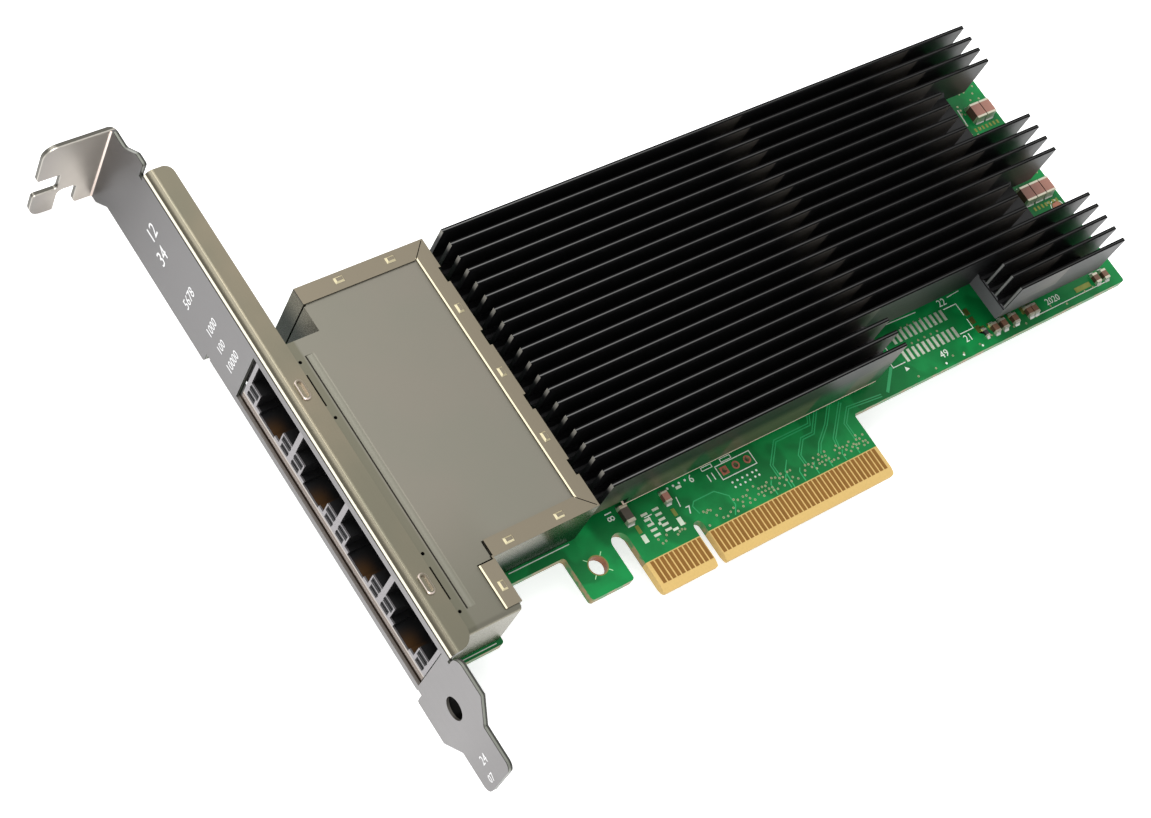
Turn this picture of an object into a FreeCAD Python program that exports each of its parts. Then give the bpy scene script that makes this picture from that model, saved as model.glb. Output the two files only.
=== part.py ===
import FreeCAD, Part
import math
import os

# Four-port network interface card for a computer's expansion slot.
# Frame: the key notch of the edge connector is at x = 0, its lower edge at y = 0 and the
# component side of the board at z = 0. +x runs along the cooling fins away from the bracket,
# +y runs up the bracket to its screw tab, and +z points away from the component side.

# ---- driving dimensions, millimetres ----

# circuit board and edge connector
board_thickness = 1.57
card_length = 167.65            # bracket face to far end of the board
board_top_y = 68.9
board_lower_y = 12.53           # lower edge right of the connector tab
board_corner_r = 0.6
key_notch_width = 1.9
key_notch_depth = 8.25
tab_short_length = 11.65
tab_long_length = 38.65
slot_width = 3.3                # relief slot beside the connector tab
slot_top_y = 12.4
tail_left = -24.7               # board tail with the tooling hole
tail_bottom_y = 4.3
tail_shoulder_y = 12.55
tooling_hole_r = 1.6
tooling_hole_x = -20.25
tooling_hole_y = 9.0
foot_right = -42.0              # board foot under the jack
foot_bottom_y = 4.7
bevel_height = 1.35
bevel_depth = 0.4

# contact fingers
finger_pitch = 1.0
finger_width = 0.7
finger_length = 4.1
finger_start_y = 1.5
finger_thickness = 0.05
fingers_short = 11
fingers_long = 38

# bracket
sheet = 0.86
bracket_face_x = -57.0
bracket_length = 120.02
bracket_width = 18.42
bracket_back_z = -5.8
bracket_tip_y = -14.4
bend_r = 0.6                    # inside bend radius
tongue_width = 10.19
tongue_back_z = -2.05
tongue_shoulder_y = -7.0
foot_end_y = -3.6
tip_corner_r = 1.5
ear_depth = 11.8
ear_width = 18.5
ear_back_z = -8.35
ear_corner_r = 2.3
ear_bend_r = 0.45               # inside bend radius of the screw tab
ear_heel_chamfer = 2.6
screw_slot_width = 4.1
screw_slot_depth = 4.4
screw_slot_z = -0.35
ear_notch_width = 3.75
ear_notch_depth = 5.3
ear_notch_offset = 4.5          # far edge of the ear to the near side of its notch
ear_neck_low = 4.3              # narrowing of the panel below the ear, solder side
ear_neck_high = 1.4
flange_top_z = 12.0
flange_width = 4.6
flange_low_y = 3.9
flange_high_y = 95.0
flange_corner_r = 1.6
flange_low_corner_r = 3.0
flange_shoulder_low = 2.2       # straight edge above the flange, then the slope to the ear
flange_shoulder_high = 5.2
shoulder_r = 1.2
relief_width = 0.9
relief_low_width = 0.45
relief_depth = 1.5
foot_shoulder_r = 2.0
back_flange_depth = 3.2
back_flange_low_y = 5.2
back_flange_high_y = 68.0
back_flange_setback = 1.05      # back flange lies this far inside the bracket's back edge
back_relief_width = 1.1
back_relief_depth = 1.2
bracket_hole_r = 2.0
bracket_hole_y = -1.5
bracket_hole_z = 3.35
collar_r = 2.6                  # rolled collar behind the hole
collar_depth = 1.6
catch_length = 3.7
catch_width = 1.6
catch_height = 0.45
catch_wall = 0.4
catch_chamfer = 0.2
catch_centres_y = (51.25, 15.35)

# jack: ports, shield and inner parts
port_count = 4
port_pitch = 13.3
port_centre_y = 32.5            # middle of the row of ports
port_width = 12.3
port_top_z = 9.05
port_shoulder_z = 4.05
port_neck_width = 6.9
port_neck_z = 1.1
latch_width = 4.5
latch_floor_z = 0.35
port_back_wall = 0.9
port_end_wall = 0.775           # end of the row of ports to the end of the shield
window_gap_end = 0.9            # gap between jack and bracket window at the upper end
window_gap = 0.2
window_gap_top = 0.1
nose_proud = 0.1                # the jack's face lies this far behind the bracket's face
nose_bottom_z = 0.05
nose_roof = 0.2
lip_bottom_z = -2.5
shield_sheet = 0.3
fold_r = 0.9
jack_height = 12.0
jack_rear_x = -21.25
jack_step_x = -42.1             # front box ends here at its lower end
jack_upper_x = -46.05           # rear box begins here at its upper end
jack_rear_low_y = 14.6
jack_rear_high_y = 67.4
rim_width = 3.1
rim_slit = 0.3
rim_notch_count = 4
rim_notch_pitch = 12.7
rim_notch_length = 2.9
rim_notch_depth = 0.5
rim_notch_first_y = 22.1
bump_length = 1.9
bump_width = 1.3
bump_height = 0.35
bump_slope = 0.35
bump_inset = 1.4
bump_steps_x = (17.1, 7.2)      # rear of the shield to the bumps along each end
bump_foot_step = 4.6            # lower end of the rear box to the bump on the front box
groove_depth = 0.12
groove_wall = 0.15
groove_width = 1.6
groove_offset = 2.7             # flange edge to the middle of the groove
groove_low_y = 9.3
groove_high_y = 56.4
cover_slit_length = 5.9
cover_slit_width = 0.4
seam = 0.05                     # bracket flange to the shield's top
cover_slit_centres_y = (50.45, 14.65)
cover_pinhole_r = 0.3
cover_pinhole_spacing = 10.5
window_light_height = 0.7
lens_set_back = 0.1
lip_curl = 1.2
module_gap = 0.2
ground_tab_reach = 0.6          # shield tab behind the window's upper end
fit_gap = 0.1
wire_count = 8
wire_pitch = 1.02
wire_width = 0.4
wire_thickness = 0.3
wire_drop = 2.0
wire_slot_width = 1.0           # slots in a module's front for its winding wires
wire_slot_depth = 0.8
wire_slot_height = 5.0
jack_pin_r = 0.35
jack_pin_length = 1.1
jack_pins_per_port = 10

# heat sink
fin_count = 20
fin_pitch = 2.655
fin_thickness = 0.7
fin_root = 0.7                  # slope where a fin meets the base
fin_top_z = 14.0
fin_first_y = 66.49             # centre of the fin nearest the board's top edge
fin_left = -18.55
fin_tip = 102.8
fin_short_end = 88.1
base_end = 97.5
base_short_end = 94.8           # base under the two groups of short fins
base_top_z = 7.2
base_bottom_z = 4.2
pedestal_left = -10.9
pedestal_bottom_z = 2.0
cut_left = 46.5                 # cut-out over the connector footprint
cut_right_base = 75.0
cut_right_fin = 75.3
short_groups = ((4, 7), (12, 14))   # first and last fin of each group that stops short
cut_fins = 3                    # fins interrupted by the cut-out, from the lower side
pad_thickness = 0.6
standoff_r = 2.4
screw_r = 1.25
screw_gap = 0.15
screw_head_r = 2.25
screw_head_height = 1.3
screw_engagement = 1.6
screw_places = ((-14.7, 21.0), (-14.7, 62.3), (52.5, 28.5), (52.5, 62.3), (91.0, 21.5), (91.0, 62.3))

# chips and small parts
controller_size = 25.0
controller_x = 30.0
controller_y = 41.0
phy_size = 11.0
phy_x = 0.5
phy_first_y = 22.6
phy_pitch = 12.6
substrate_height = 0.5
chip_edge = 1.6                 # bare substrate rim round a package's moulded top
solder_ball_r = 0.3
solder_ball_pitch = 2.5
inductor_size = 6.6
inductor_height = 3.4
inductor_core_r = 2.4
inductor_x = 82.0
regulator_x = 72.0
regulator_size = 5.0
regulator_top_z = 0.95
power_rows_y = (31.0, 40.5, 50.0)
flash_x = 62.0
flash_y = 58.0
flash_size = 6.0
flash_top_z = 1.75
crystal_x = 61.6
crystal_y = 44.5
crystal_width = 3.2
crystal_length = 5.0
crystal_height = 0.9
bulk_cap_length = 3.2
bulk_cap_width = 2.4
bulk_cap_height = 1.9
bulk_cap_pitch = 2.6
bulk_cap_margin = 2.85          # far end of the board to the last capacitor
bulk_bank_rows_y = (54.7, 35.5)
bulk_bank_counts = (2, 3)
under_cap_size = (1.6, 0.8, 0.8)
under_cap_pitch = 2.8
under_cap_ring_count = 6
header_pitch = 1.27
header_pins = 11
header_first_x = 56.47
header_row_low_y = 17.8
header_row_gap = 3.85
header_pad_width = 0.62
header_pad_length = 2.2
header_pad_height = 0.12
edge_part_size = (2.0, 1.25, 0.9)
edge_part_y = 15.2
edge_part_steps = (8.0, 10.2, 13.1, 17.0, 18.4)     # last connector pad to each capacitor
end_part_steps = (6.0, 3.7)     # far end of the board to each capacitor
resistor_size = (1.6, 0.8, 0.5)
resistor_step = 5.7
bead_size = (3.2, 1.6, 1.1)
bead_x = -10.9
bead_y = 14.3
bypass_x = -2.6
bypass_y = 14.0
side_pad_length = 1.3
side_pad_width = 0.45
side_pad_pitch = 1.0
side_pad_count = 5
side_pad_low_y = 9.1
side_pad_columns_x = (-7.7, -5.3)
jumper_pitch = 2.55
jumper_first_x = 10.4
jumper_y = 13.8
jumper_pad = 1.5
jumper_bore_r = 0.45

# ---- values worked out from the ones above ----

board_bottom_z = -board_thickness
board_right = bracket_face_x + card_length
bracket_inner_x = bracket_face_x + sheet
board_left = bracket_inner_x + 0.9
ear_under_y = bracket_tip_y + bracket_length - sheet
bracket_front_z = bracket_back_z + bracket_width
ear_front_z = ear_back_z + ear_width
flange_under_z = flange_top_z - sheet
flange_edge_x = bracket_face_x + flange_width
notch_half = key_notch_width / 2
tab_left = -notch_half - tab_short_length
tab_right = notch_half + tab_long_length
jack_front_width = (port_count - 1) * port_pitch + port_width + 2 * port_end_wall
jack_front_low_y = port_centre_y - jack_front_width / 2
jack_front_high_y = port_centre_y + jack_front_width / 2
nose_x = bracket_face_x + nose_proud
nose_back_x = bracket_inner_x + bend_r + shield_sheet + fit_gap
nose_top_z = port_top_z + nose_roof
nose_inner_x = nose_x + shield_sheet + fit_gap / 2
window_top_z = nose_top_z + window_gap_top
window_bottom_z = lip_bottom_z - window_gap
window_low_y = jack_front_low_y - window_gap
window_high_y = jack_front_high_y + window_gap_end
cover_top_z = jack_height - shield_sheet - 0.02
cover_edge_x = flange_edge_x + seam
under_flange_z = flange_under_z - 0.02
wall_back_x = jack_step_x - shield_sheet - fit_gap
port_back_x = wall_back_x - port_back_wall
fin_last_y = fin_first_y - (fin_count - 1) * fin_pitch
sink_low_y = fin_last_y - fin_thickness / 2
sink_high_y = fin_first_y + fin_thickness / 2
cut_top_y = fin_last_y + cut_fins * fin_pitch - fin_thickness / 2
chip_top_z = pedestal_bottom_z - pad_thickness
header_last_x = header_first_x + (header_pins - 1) * header_pitch
rear_wall_end_y = jack_rear_high_y - rim_width


def port_centres():
    """Middle of each port along y, from the lowest to the highest."""
    start = port_centre_y - (port_count - 1) * port_pitch / 2
    return [start + i * port_pitch for i in range(port_count)]


# ---- helpers ----

def vec(x, y, z):
    return FreeCAD.Vector(x, y, z)


def box(x0, x1, y0, y1, z0, z1):
    return Part.makeBox(x1 - x0, y1 - y0, z1 - z0, vec(x0, y0, z0))


def cylinder(r, length, start, axis):
    return Part.makeCylinder(r, length, start, axis)


def face(corners, place):
    """Flat face from (u, v) or (u, v, radius) corners; place puts a (u, v) point in space."""
    count = len(corners)
    ends = []
    for i, corner in enumerate(corners):
        here = FreeCAD.Vector(corner[0], corner[1], 0)
        if len(corner) < 3 or corner[2] <= 0:
            ends.append((here, None, here))
            continue
        before = FreeCAD.Vector(corners[i - 1][0], corners[i - 1][1], 0) - here
        after = FreeCAD.Vector(corners[(i + 1) % count][0], corners[(i + 1) % count][1], 0) - here
        half = before.getAngle(after) / 2
        before.normalize()
        after.normalize()
        reach = corner[2] / math.tan(half)
        bisector = before + after
        bisector.normalize()
        middle = here + bisector * (corner[2] / math.sin(half) - corner[2])
        ends.append((here + before * reach, middle, here + after * reach))
    edges = []
    for i, (first, middle, last) in enumerate(ends):
        if middle is not None:
            arc = Part.Arc(place(first.x, first.y), place(middle.x, middle.y), place(last.x, last.y))
            edges.append(arc.toShape())
        start = ends[(i + 1) % count][0]
        if (start - last).Length > 1e-6:
            edges.append(Part.makeLine(place(last.x, last.y), place(start.x, start.y)))
    return Part.Face(Part.Wire(edges))


def on_xy(corners, z0, z1):
    """Solid with an outline in x and y, from height z0 to z1."""
    return face(corners, lambda u, v: vec(u, v, z0)).extrude(vec(0, 0, z1 - z0))


def on_yz(corners, x0, x1):
    """Solid with an outline in y and z, from x0 to x1."""
    return face(corners, lambda u, v: vec(x0, u, v)).extrude(vec(x1 - x0, 0, 0))


def on_xz(corners, y0, y1):
    """Solid with an outline in x and z, from y0 to y1."""
    return face(corners, lambda u, v: vec(u, y0, v)).extrude(vec(0, y1 - y0, 0))


def rectangle(u0, u1, v0, v1, r=0.0):
    return [(u0, v0, r), (u1, v0, r), (u1, v1, r), (u0, v1, r)]


def join(shapes):
    """One solid from solids that touch or overlap."""
    whole = shapes[0]
    if len(shapes) > 1:
        whole = whole.multiFuse(shapes[1:])
    return whole.removeSplitter()


def group(shapes):
    """Separate pieces kept together in one node."""
    return Part.makeCompound(shapes)


def save(name, shape):
    shape.exportStep(os.path.join("parts", name + ".step"))
    print(name, len(shape.Solids), "solid(s)", round(shape.Volume, 2), "mm3", shape.isValid())


# ---- circuit board and its contacts ----

def make_board():
    slot_right = tab_left
    slot_left = slot_right - slot_width
    slot_r = slot_width / 2 - 0.01
    notch_r = notch_half - 0.01
    outline = [
        (board_left, foot_bottom_y, board_corner_r), (foot_right, foot_bottom_y, board_corner_r),
        (foot_right, tail_shoulder_y), (tail_left, tail_shoulder_y, board_corner_r),
        (tail_left, tail_bottom_y, board_corner_r), (slot_left, tail_bottom_y, board_corner_r),
        (slot_left, slot_top_y, slot_r), (slot_right, slot_top_y, slot_r),
        (tab_left, 0, board_corner_r), (-notch_half, 0, board_corner_r / 2),
        (-notch_half, key_notch_depth, notch_r), (notch_half, key_notch_depth, notch_r),
        (notch_half, 0, board_corner_r / 2), (tab_right, 0, board_corner_r),
        (tab_right, board_lower_y, board_corner_r), (board_right, board_lower_y, board_corner_r),
        (board_right, board_top_y, board_corner_r), (jack_upper_x + 3, board_top_y),
        (jack_upper_x, jack_rear_high_y), (jack_upper_x, jack_front_high_y + 1),
        (board_left, jack_front_high_y + 1, board_corner_r),
    ]
    board = on_xy(outline, board_bottom_z, 0)
    cuts = [cylinder(tooling_hole_r, board_thickness + 2,
                     vec(tooling_hole_x, tooling_hole_y, board_bottom_z - 1), vec(0, 0, 1))]
    for x, y in screw_places:
        cuts.append(cylinder(screw_r + screw_gap, board_thickness + 2,
                             vec(x, y, board_bottom_z - 1), vec(0, 0, 1)))
    for i in range(3):
        cuts.append(cylinder(jumper_bore_r, board_thickness + 2,
                             vec(jumper_first_x + i * jumper_pitch, jumper_y, board_bottom_z - 1),
                             vec(0, 0, 1)))
    for z_face, z_edge in ((0, -bevel_depth), (board_bottom_z, board_bottom_z + bevel_depth)):
        wedge = Part.Face(Part.makePolygon([
            vec(tab_left - 1, bevel_height, z_face), vec(tab_left - 1, -0.1, z_face),
            vec(tab_left - 1, -0.1, z_edge), vec(tab_left - 1, 0, z_edge),
            vec(tab_left - 1, bevel_height, z_face)]))
        cuts.append(wedge.extrude(vec(tab_right - tab_left + 2, 0, 0)))
    return board.cut(cuts).removeSplitter()


def make_fingers(z_low):
    """The row of contact fingers on one face of the board, with a gap at the key notch."""
    fingers = []
    first_long = notch_half + (tab_long_length - (fingers_long - 1) * finger_pitch) / 2 - 0.275
    for i in range(fingers_long):
        fingers.append(first_long + i * finger_pitch)
    for i in range(fingers_short):
        fingers.append(-first_long - i * finger_pitch)
    return group([box(x - finger_width / 2, x + finger_width / 2, finger_start_y,
                      finger_start_y + finger_length, z_low, z_low + finger_thickness)
                  for x in fingers])


# ---- bracket ----

def make_bracket():
    outline = [
        (ear_under_y - ear_bend_r, ear_back_z), (ear_under_y - ear_neck_high, ear_back_z),
        (ear_under_y - ear_neck_low, bracket_back_z, 0.5), (back_flange_high_y + back_relief_width, bracket_back_z, 0.5),
        (back_flange_high_y + back_relief_width, bracket_back_z + back_flange_setback + back_relief_depth),
        (back_flange_high_y, bracket_back_z + back_flange_setback + back_relief_depth),
        (back_flange_high_y, bracket_back_z + back_flange_setback + sheet),
        (back_flange_low_y, bracket_back_z + back_flange_setback + sheet),
        (back_flange_low_y, bracket_back_z + back_flange_setback + back_relief_depth),
        (back_flange_low_y - back_relief_width,
         bracket_back_z + back_flange_setback + back_relief_depth),
        (back_flange_low_y - back_relief_width, bracket_back_z, 0.5),
        (foot_end_y, bracket_back_z), (tongue_shoulder_y, tongue_back_z),
        (bracket_tip_y, tongue_back_z, tip_corner_r),
        (bracket_tip_y, tongue_back_z + tongue_width, tip_corner_r),
        (tongue_shoulder_y, tongue_back_z + tongue_width), (foot_end_y, bracket_front_z),
        (flange_low_y - relief_low_width, bracket_front_z, foot_shoulder_r),
        (flange_low_y - relief_low_width, flange_under_z - relief_depth),
        (flange_low_y, flange_under_z - relief_depth), (flange_low_y, flange_under_z - bend_r),
        (flange_high_y, flange_under_z - bend_r), (flange_high_y, flange_under_z - relief_depth),
        (flange_high_y + relief_width, flange_under_z - relief_depth),
        (flange_high_y + relief_width, bracket_front_z, 0.4),
        (flange_high_y + relief_width + flange_shoulder_low, bracket_front_z, shoulder_r),
        (flange_high_y + relief_width + flange_shoulder_high, ear_front_z, shoulder_r),
        (ear_under_y - ear_bend_r, ear_front_z),
    ]
    panel = on_yz(outline, bracket_face_x, bracket_inner_x)
    # component-side flange: bend and flat, swept along the bracket
    outer_r = bend_r + sheet
    bend = bent_strip(bracket_face_x, flange_top_z, flange_edge_x, flange_low_y, flange_high_y, 1)
    flange = bend.cut([corner_trim(flange_edge_x, flange_high_y, flange_corner_r, 1),
                       corner_trim(flange_edge_x, flange_low_y, flange_low_corner_r, -1)])
    # back flange, bent inward on the solder side
    back_z = bracket_back_z + back_flange_setback
    back = bent_strip(bracket_face_x, back_z, bracket_face_x + back_flange_depth,
                      back_flange_low_y, back_flange_high_y, -1)
    panel_back = box(bracket_face_x, bracket_inner_x, back_flange_low_y, back_flange_high_y,
                     back_z + outer_r, back_z + outer_r + 0.01)
    # screw tab, bent away from the card
    tab_start_x = bracket_face_x - ear_bend_r
    tab_outline = [
        (tab_start_x, ear_back_z), (tab_start_x, ear_front_z),
        (bracket_face_x - ear_depth, ear_front_z, ear_corner_r),
        (bracket_face_x - ear_depth, screw_slot_z + screw_slot_width / 2, 0.5),
        (bracket_face_x - ear_depth + screw_slot_depth, screw_slot_z + screw_slot_width / 2, 0.5),
        (bracket_face_x - ear_depth + screw_slot_depth, screw_slot_z - screw_slot_width / 2, 0.5),
        (bracket_face_x - ear_depth, screw_slot_z - screw_slot_width / 2, 0.5),
        (bracket_face_x - ear_depth, ear_back_z, ear_heel_chamfer),
        (bracket_face_x - ear_depth + ear_notch_offset, ear_back_z, 0.3),
        (bracket_face_x - ear_depth + ear_notch_offset, ear_back_z + ear_notch_depth, 1.2),
        (bracket_face_x - ear_depth + ear_notch_offset + ear_notch_width,
         ear_back_z + ear_notch_depth, 1.2),
        (bracket_face_x - ear_depth + ear_notch_offset + ear_notch_width, ear_back_z, 0.8),
    ]
    flat = face(tab_outline, lambda u, v: vec(u, ear_under_y, v)).extrude(vec(0, sheet, 0))
    bend_y = ear_under_y - ear_bend_r
    bend_start = vec(tab_start_x, bend_y, ear_back_z)
    tab_bend = cylinder(ear_bend_r + sheet, ear_width, bend_start, vec(0, 0, 1))
    tab_bend = tab_bend.cut(cylinder(ear_bend_r, ear_width, bend_start, vec(0, 0, 1)))
    tab_bend = tab_bend.common(box(tab_start_x, bracket_inner_x, bend_y, ear_under_y + sheet,
                                   ear_back_z, ear_front_z))
    collar = cylinder(collar_r, collar_depth + sheet / 2,
                      vec(bracket_inner_x - sheet / 2, bracket_hole_y, bracket_hole_z), vec(1, 0, 0))
    bracket = join([panel, flange, back, panel_back, flat, tab_bend, collar])
    cuts = [
        box(bracket_face_x - 1, bracket_inner_x + 1, window_low_y, window_high_y,
            window_bottom_z, window_top_z),
        cylinder(bracket_hole_r, sheet + collar_depth + 2,
                 vec(bracket_face_x - 1, bracket_hole_y, bracket_hole_z), vec(1, 0, 0)),
    ]
    bracket = bracket.cut(cuts)
    return join([bracket] + [make_catch(y) for y in catch_centres_y])


def bent_strip(face_x, outer_z, edge_x, y0, y1, side):
    """Quarter bend and flat of a flange; side is +1 above the panel and -1 below it."""
    outer_r = bend_r + sheet
    centre_x = face_x + outer_r
    centre_z = outer_z - side * outer_r
    tilt = math.sqrt(0.5)

    def at(x, z):
        return vec(x, y0, z)

    outer = Part.Arc(at(face_x, centre_z), at(centre_x - outer_r * tilt, centre_z + side * outer_r * tilt),
                     at(centre_x, outer_z)).toShape()
    inner = Part.Arc(at(centre_x, outer_z - side * sheet),
                     at(centre_x - bend_r * tilt, centre_z + side * bend_r * tilt),
                     at(face_x + sheet, centre_z)).toShape()
    wire = Part.Wire([
        outer, Part.makeLine(at(centre_x, outer_z), at(edge_x, outer_z)),
        Part.makeLine(at(edge_x, outer_z), at(edge_x, outer_z - side * sheet)),
        Part.makeLine(at(edge_x, outer_z - side * sheet), at(centre_x, outer_z - side * sheet)),
        inner, Part.makeLine(at(face_x + sheet, centre_z), at(face_x, centre_z))])
    return Part.Face(wire).extrude(vec(0, y1 - y0, 0))


def corner_trim(edge_x, edge_y, r, side):
    """What a round corner of radius r takes off the flange; side is +1 at its upper end, -1 below."""
    ends = sorted((edge_y - side * r, edge_y + side))
    block = box(edge_x - r, edge_x + 1, ends[0], ends[1], flange_under_z - 1, flange_top_z + 1)
    rounding = cylinder(r, sheet + 2, vec(edge_x - r, edge_y - side * r, flange_under_z - 1),
                        vec(0, 0, 1))
    return block.cut(rounding)


def make_catch(y):
    """Raised oblong catch, pressed up round a shallow recess in the flange."""
    x = flange_edge_x - catch_width / 2 - 1.1
    outer = on_xy(rectangle(x - catch_width / 2, x + catch_width / 2, y - catch_length / 2,
                            y + catch_length / 2, catch_width / 2 - 0.01),
                  flange_top_z - 0.1, flange_top_z + catch_height)
    rim = [edge for edge in outer.Edges if edge.BoundBox.ZMin > flange_top_z + catch_height - 0.01]
    outer = outer.makeChamfer(catch_chamfer, rim)
    half = catch_width / 2 - catch_wall
    inner = on_xy(rectangle(x - half, x + half, y - catch_length / 2 + catch_wall,
                            y + catch_length / 2 - catch_wall, half - 0.01),
                  flange_top_z, flange_top_z + catch_height + 1)
    return outer.cut(inner)


# ---- jack ----

def port_outline(y, grow):
    """Stepped outline of one port, widened all round by grow."""
    half = port_width / 2 + grow
    neck = port_neck_width / 2 + grow
    latch = latch_width / 2 + grow
    return [
        (y - half, port_top_z + grow), (y - half, port_shoulder_z - grow),
        (y - neck, port_shoulder_z - grow), (y - neck, port_neck_z - grow),
        (y - latch, port_neck_z - grow), (y - latch, latch_floor_z - grow),
        (y + latch, latch_floor_z - grow), (y + latch, port_neck_z - grow),
        (y + neck, port_neck_z - grow), (y + neck, port_shoulder_z - grow),
        (y + half, port_shoulder_z - grow), (y + half, port_top_z + grow),
    ]


def light_windows(y):
    """The two indicator windows in each lower corner of a port, as (y0, y1, z0, z1)."""
    half = port_width / 2
    places = []
    for side in (-1, 1):
        for reach, z_low in ((2.3, 2.75), (1.9, 1.05)):
            edges = sorted((y + side * half, y + side * (half - reach)))
            places.append((edges[0], edges[1], z_low, z_low + window_light_height))
    return places


def make_housing():
    low = jack_front_low_y + shield_sheet + fit_gap
    high = jack_front_high_y - shield_sheet - fit_gap
    top = under_flange_z - shield_sheet - fit_gap
    block = on_yz([(low, 0), (high, 0), (high, top), (low + fold_r, top), (low, top - fold_r)],
                  nose_back_x, wall_back_x)
    nose = box(nose_inner_x, nose_back_x + 1, low, high, nose_bottom_z, port_top_z - fit_gap / 2)
    cuts = []
    for y in port_centres():
        cuts.append(on_yz(port_outline(y, 0), nose_x - 1, port_back_x))
    return join([block, nose]).cut(cuts)


def make_contacts(y):
    """Eight sprung wires that hang from the roof of one port and end in its back wall."""
    wires = []
    front_x = nose_back_x + 3.0
    bend_x = port_back_x - 2.4
    low_z = port_top_z - wire_drop
    profile = [
        (front_x, port_top_z), (bend_x, low_z), (port_back_x, low_z),
        (port_back_x, low_z + wire_thickness), (bend_x, low_z + wire_thickness),
        (front_x + wire_thickness * 3, port_top_z),
    ]
    for i in range(wire_count):
        wire_y = y + (i - (wire_count - 1) / 2) * wire_pitch
        wires.append(on_xz(profile, wire_y - wire_width / 2, wire_y + wire_width / 2))
    return group(wires)


def make_cover():
    """Front and top of the shield: a face with four ports, folded over the front box."""
    front = box(nose_x, nose_x + shield_sheet, jack_front_low_y, jack_front_high_y, nose_bottom_z,
                nose_top_z)
    roof = box(nose_x, nose_back_x, jack_front_low_y, jack_front_high_y, port_top_z, nose_top_z)
    nose_ends = [box(nose_x, nose_back_x, y, y + shield_sheet, nose_bottom_z, nose_top_z)
                 for y in (jack_front_low_y, jack_front_high_y - shield_sheet)]
    header = box(nose_back_x - shield_sheet, nose_back_x, jack_front_low_y, jack_front_high_y,
                 port_top_z, under_flange_z)
    ground_tab = box(nose_back_x - shield_sheet, nose_back_x, jack_front_high_y - shield_sheet,
                     window_high_y + ground_tab_reach, nose_bottom_z + fit_gap, nose_top_z)
    inner_x = jack_rear_x - shield_sheet - fit_gap
    step_x = jack_step_x - shield_sheet - fit_gap
    low_y = jack_rear_low_y + shield_sheet + fit_gap
    high_y = jack_rear_high_y - shield_sheet - fit_gap
    upper_x = jack_upper_x + shield_sheet + fit_gap
    upper_end_y = rear_wall_end_y - rim_slit
    top_outline = [
        (cover_edge_x, jack_front_low_y + fold_r), (step_x, jack_front_low_y + fold_r),
        (step_x, low_y), (inner_x, low_y), (inner_x, high_y), (upper_x, high_y),
        (upper_x, upper_end_y), (jack_upper_x, upper_end_y), (jack_upper_x, jack_front_high_y),
        (cover_edge_x, jack_front_high_y),
    ]
    top = on_xy(top_outline, cover_top_z - shield_sheet, cover_top_z)
    shelf = box(nose_back_x - shield_sheet, cover_edge_x + shield_sheet, jack_front_low_y + fold_r,
                jack_front_high_y, under_flange_z - shield_sheet, under_flange_z)
    riser = box(cover_edge_x, cover_edge_x + shield_sheet, jack_front_low_y + fold_r,
                jack_front_high_y, under_flange_z - shield_sheet, cover_top_z)
    upper_wall = box(nose_back_x - shield_sheet, jack_upper_x + shield_sheet,
                     jack_front_high_y - shield_sheet, jack_front_high_y, 0, under_flange_z)
    upper_strip = box(cover_edge_x, jack_upper_x + shield_sheet, jack_front_high_y - shield_sheet,
                      jack_front_high_y, under_flange_z - shield_sheet, cover_top_z)
    rear_wall = box(jack_upper_x, jack_upper_x + shield_sheet, jack_front_high_y - shield_sheet,
                    upper_end_y, 0, cover_top_z)
    pieces = [front, roof] + nose_ends
    pieces += [header, ground_tab, top, shelf, riser, upper_wall, upper_strip, rear_wall,
               folded_side(cover_edge_x, step_x, cover_top_z),
               folded_side(nose_back_x - shield_sheet, cover_edge_x + shield_sheet, under_flange_z),
               make_lip()]
    cover = join(pieces)
    cuts = []
    for y in port_centres():
        cuts.append(on_yz(port_outline(y, 0), nose_x - 1, nose_back_x + 1))
        for y0, y1, z0, z1 in light_windows(y):
            cuts.append(box(nose_x - 1, nose_back_x + 1, y0, y1, z0, z1))
    for y in cover_slit_centres_y:
        cuts.append(box(cover_edge_x - 0.01, cover_edge_x + cover_slit_width, y - cover_slit_length / 2,
                        y + cover_slit_length / 2, under_flange_z - 1, cover_top_z + 1))
        for side in (-1, 1):
            cuts.append(cylinder(cover_pinhole_r, 2,
                                 vec(cover_edge_x + 0.5, y + side * cover_pinhole_spacing / 2,
                                     cover_top_z - 1), vec(0, 0, 1)))
    cuts.append(make_groove())
    # slits beside the rims of the rear shield
    cuts.append(box(jack_step_x - rim_slit, jack_step_x, jack_rear_low_y, jack_rear_low_y + rim_width,
                    cover_top_z - 1, cover_top_z + 1))
    cuts.append(box(jack_step_x - rim_width, jack_step_x, jack_rear_low_y - rim_slit, jack_rear_low_y,
                    cover_top_z - 1, cover_top_z + 1))
    return cover.cut(cuts).removeSplitter()


def folded_side(x0, x1, top_z):
    """Lower side wall of the front box, with a round fold up to the top at top_z."""
    y = jack_front_low_y
    profile = [
        (y, 0), (y, top_z, fold_r), (y + fold_r + 0.3, top_z), (y + fold_r + 0.3, top_z - shield_sheet),
        (y + shield_sheet, top_z - shield_sheet, fold_r - shield_sheet), (y + shield_sheet, 0),
    ]
    return on_yz(profile, x0, x1)


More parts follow.
